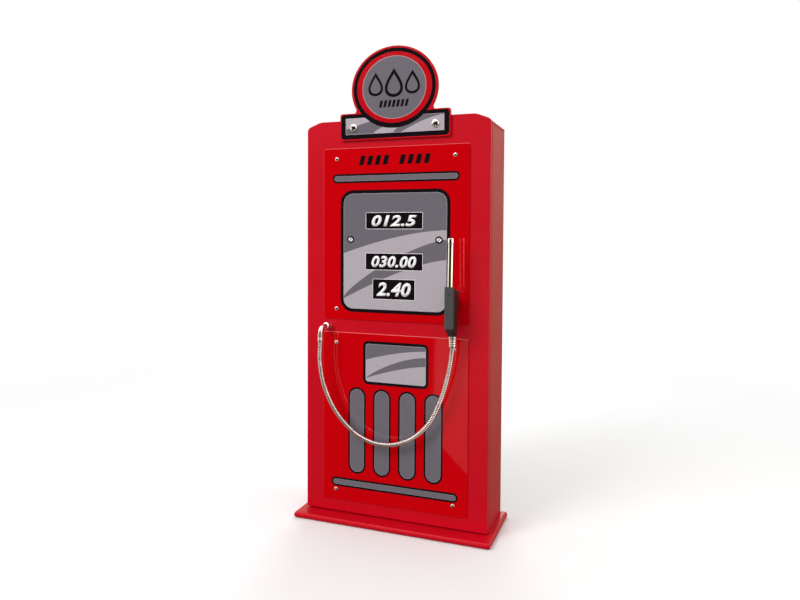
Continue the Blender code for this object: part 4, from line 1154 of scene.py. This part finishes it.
SLOT_MIDDLE, SLOT_HALF = 0.0049, 0.030
WINDOW_BORDER = 0.0090


def make_lower_print():
    foot = LOWER_LOW.z
    shape = box_shape((-0.1015, foot + 0.380), (0.1154, foot + 0.517), 0.018)
    framed("window", [shape], WINDOW_BORDER)
    curves = [(foot + 0.4575, foot + 0.4945, 1.0, 1.60), (foot + 0.4010, foot + 0.4755, 0.92, 1.60),
              (foot + 0.4000, foot + 0.4480, 1.0, 1.45)]
    swoosh("window_bands", shape(WINDOW_BORDER + KEYLINE), curves)
    middles = [SLOT_MIDDLE + SLOT_PITCH * (number - 1.5) for number in range(4)]
    slots = [capsule((x - SLOT_HALF, foot + 0.091), (x + SLOT_HALF, foot + 0.368)) for x in middles]
    framed("slots", slots, LINE, FINE_LINE)
    framed("lower_bar", [capsule((-0.210, foot + 0.0435), (0.210, foot + 0.0725))], LINE, FINE_LINE)


DROP_WIDE, DROP_POINT = 0.93, 1.35


def drop(centre, size, steps=64):
    """A drop with its point up, size high from its centre."""
    points = []
    for step in range(steps):
        angle = 2 * math.pi * step / steps
        x = math.sin(angle) * abs(math.sin(angle / 2)) ** DROP_POINT * size * DROP_WIDE
        points.append((centre[0] - x, centre[1] + math.cos(angle) * size))
    return points


def make_sign_bar():
    """Bar of the sign: black border, pale line, and three light bands on grey."""
    foot, face = SIGN_FOOT, SIGN_FACE
    outer = box_shape((-BAR_HALF + 0.0038, foot + 0.0042),
                      (BAR_HALF - 0.0038, foot + BAR_HEIGHT - 0.0036), 0.0110)
    inner = box_shape((-0.1610, foot + 0.0180), (0.1610, foot + 0.0690), 0.0020)
    window = inner(KEYLINE)
    printed("sign_bar_border", [[outer(0.0), inner(0.0)]], face, 0, "print_black")
    printed("sign_bar_keyline", [[inner(0.0), window]], face, 0, "print_light")
    printed("sign_bar_fill", [[window]], face, 0, "print_grey")
    left, right = window[-1][0], window[0][0] + 0.0015
    top = foot + 0.080
    corner = [(left, top)] + sweep((left, foot + 0.0345), (-0.060, foot + 0.0585), 1.0, 1.3) + [(-0.060, top)]
    middle = [(-0.0900, foot), (-0.0240, foot), (0.0100, foot + 0.0310), (0.0300, foot + 0.0420),
              (-0.0250, foot + 0.0420), (-0.0580, foot + 0.0275)]
    rising = sweep((0.0160, foot + 0.0140), (right, foot + 0.0660), 0.95, 1.5)
    end = [(0.0160, foot), (right, foot)] + rising[::-1]
    lights = [[clipped(band, window)] for band in (corner[::-1], middle, end)]
    printed("sign_bar_bands", lights, face, 1, "print_light")


RAISED = (DISC[0], DISC[1] + 0.0018)
SIGN_RINGS = (                  # centre, half width, half height
    (DISC, 0.1335, 0.1210), (RAISED, 0.1222, 0.1078), (RAISED, 0.1036, 0.0950), (RAISED, 0.1022, 0.0936),
)
SIGN_DROPS = ((-0.0600, 0.0360), (0.0, 0.0440), (0.0600, 0.0360))      # place in X, size
DROP_BIGGEST = 0.0440


def make_sign_print():
    """Rings on the disc, with three drops and a row of bars."""
    loops = [oval(centre, (wide, high), 128) for centre, wide, high in SIGN_RINGS]
    fills = (("sign_black_ring", loops[0:2], "print_black"), ("sign_red_ring", loops[1:3], "print_red"),
             ("sign_disc_keyline", loops[2:4], "print_light"), ("sign_disc", loops[3:4], "print_grey"))
    for name, rings, finish in fills:
        printed(name, [rings], SIGN_FACE, 2, finish)
    drops = []
    for x, size in SIGN_DROPS:
        z = SIGN_FOOT + 0.1700 + (size - DROP_BIGGEST) * 0.2
        drops.append([drop((x, z), size), drop((x, z - size * 0.085), size * 0.70)])
    printed("sign_drops", drops, SIGN_FACE, 3, "print_black")
    z = SIGN_FOOT + 0.1070
    bars = [[slanted((-0.0420 + 0.0140 * step, z), 0.0085, 0.0210, BAR_LEAN)] for step in range(7)]
    printed("sign_bars", bars, SIGN_FACE, 3, "print_black")


make_nails()
make_hinge_screws()
make_heading()
make_upper_print()
make_readouts()
make_printed_screws()
make_lower_print()
make_sign_bar()
make_sign_print()


# ---------------------------------------------------------------- floor, light and air
def stage_piece(name, corners, colour, roughness):
    mesh = bpy.data.meshes.new(name)
    mesh.from_pydata(corners, [], [tuple(range(len(corners)))])
    made = placed(name, mesh)
    finish = Finish(name, colour, roughness)
    shade = tuple(part * 0.985 for part in colour)
    finish.colour_between(finish.noise(1.5, 3.0), shade, colour)
    mesh.materials.append(finish.material)
    return made, finish


def fade_out(finish, start, end):
    """Alpha falls from 1 to 0 with the distance from the piece's origin."""
    length = finish.nodes.new("ShaderNodeVectorMath")
    length.operation = "LENGTH"
    finish.link(finish.place.outputs["Object"], length.inputs[0])
    finish.link(finish.ranged(length.outputs["Value"], 1.0, 0.0, (start, end)), finish.shader.inputs["Alpha"])


def make_floor():
    """A white floor that fades out, and a grey patch that only reflections see."""
    reach = 3.4
    floor, finish = stage_piece("floor", [(-reach, -reach, 0.0), (reach, -reach, 0.0), (reach, reach, 0.0),
                                          (-reach, reach, 0.0)], (0.90, 0.90, 0.90), 0.9)
    fade_out(finish, 0.9, 3.2)
    floor.visible_glossy = False
    floor.visible_diffuse = False
    patch = [(-1.15, -4.2), (-0.2, -4.2), (0.6, -1.5), (0.6, -0.5), (0.14, -0.55), (-0.12, -0.95),
             (-0.40, -1.75)]
    paper, _ = stage_piece("paper", [(x, y, 0.0) for x, y in patch], (0.36, 0.33, 0.35), 0.9)
    paper.location.z = 0.0004
    paper.visible_camera = False
    paper.visible_diffuse = False
    paper.visible_shadow = False


def softbox(name, place, target, size, power, colour=(1.0, 1.0, 1.0)):
    data = bpy.data.lights.new(name, "AREA")
    data.shape = "RECTANGLE"
    data.size, data.size_y = size
    data.energy = power
    data.color = colour
    light = placed(name, data)
    light.location = place
    light.rotation_euler = (Vector(target) - Vector(place)).to_track_quat("-Z", "Y").to_euler()
    return light


def make_lights():
    softbox("key", (-1.9, -3.6, 3.4), (0.0, 0.0, 0.6), (2.2, 2.2), 127.0).visible_glossy = False
    softbox("fill", (0.5, -2.6, 0.45), (0.0, 0.0, 0.35), (1.6, 0.7), 10.0).visible_glossy = False
    softbox("strip", (0.0, -0.9, 3.0), (0.0, -0.13, 0.0), (3.0, 0.25), 26.0).visible_diffuse = False
    softbox("side", (3.0, 0.3, 1.5), (0.0, 0.0, 0.7), (1.2, 2.0), 15.0, (1.0, 0.93, 0.85))
    softbox("back", (-0.8, 3.0, 2.2), (0.0, 0.0, 0.7), (1.6, 1.6), 45.0)


def grey(value):
    return (value, value, value)


AROUND = ((0.0, (0.42, 0.40, 0.29)), (0.25, (0.92, 0.88, 0.66)), (0.42, (1.50, 1.42, 1.15)),
          (0.75, (1.60, 1.56, 1.50)))
AHEAD = ((0.0, (0.006, 0.005, 0.005)), (0.52, (0.012, 0.010, 0.010)), (0.66, (0.80, 0.78, 0.75)),
         (0.9, (0.95, 0.94, 0.92)))
DARK_SIDE = (0.087, -0.996, 0.0)        # level direction of the room's dark side


def make_world():
    """White to the camera, even to soft light; to reflections, a room that is dark in front."""
    world = bpy.data.worlds.new("studio")
    bpy.context.scene.world = world
    world.use_nodes = True
    nodes, link = world.node_tree.nodes, world.node_tree.links.new
    nodes.clear()

    def ramped(source, span, stops):
        """Colour along one component of the direction."""
        spread = add_node(nodes, "ShaderNodeMapRange", From_Min=span[0], From_Max=span[1])
        link(source, spread.inputs["Value"])
        node = colour_ramp(nodes, stops)
        link(spread.outputs["Result"], node.inputs["Fac"])
        return node.outputs["Color"]

    def vector(operation, source, other=None):
        node = nodes.new("ShaderNodeVectorMath")
        node.operation = operation
        link(source, node.inputs[0])
        if other:
            node.inputs[1].default_value = other
        return node.outputs["Value" if operation == "DOT_PRODUCT" else "Vector"]

    def mixed(first, second, factor=None):
        """From first to second by factor, or their product."""
        node = nodes.new("ShaderNodeMix")
        node.data_type = "RGBA"
        if factor:
            link(factor, node.inputs["Factor"])
        else:
            node.blend_type = "MULTIPLY"
            node.inputs["Factor"].default_value = 1.0
        link(first, node.inputs[MIX_FIRST])
        link(second, node.inputs[MIX_SECOND])
        return node.outputs[MIX_RESULT]

    def background(colour=None):
        node = add_node(nodes, "ShaderNodeBackground", Color=(1.0, 1.0, 1.0, 1.0))
        if colour:
            link(colour, node.inputs["Color"])
        return node.outputs["Background"]

    def by_ray(kind, others, such):
        node = nodes.new("ShaderNodeMixShader")
        link(rays.outputs[kind], node.inputs["Fac"])
        link(others, node.inputs[1])
        link(such, node.inputs[2])
        return node.outputs["Shader"]

    direction = nodes.new("ShaderNodeTexCoord").outputs["Generated"]
    split = nodes.new("ShaderNodeSeparateXYZ")
    link(direction, split.inputs["Vector"])
    height = split.outputs["Z"]
    level = vector("NORMALIZE", vector("MULTIPLY", direction, (1.0, 1.0, 0.0)))
    toward = vector("DOT_PRODUCT", level, DARK_SIDE)
    aside = ramped(toward, (0.62, 0.77), [(0.0, grey(1.0)), (1.0, grey(0.0))])
    behind = ramped(toward, (-0.90, -0.45), [(0.0, grey(0.42)), (1.0, grey(1.0))])
    around = mixed(ramped(height, (-0.4, 1.0), AROUND), behind)
    room = mixed(ramped(height, (-0.4, 1.0), AHEAD), around, aside)
    dome = ramped(height, (-0.25, 0.25), [(0.0, grey(0.28)), (1.0, grey(0.68))])
    rays = nodes.new("ShaderNodeLightPath")
    unseen = by_ray("Is Glossy Ray", background(dome), background(room))
    out = nodes.new("ShaderNodeOutputWorld")
    link(by_ray("Is Camera Ray", unseen, background()), out.inputs["Surface"])


make_floor()
make_lights()
make_world()
bpy.context.scene.view_settings.view_transform = "Standard"
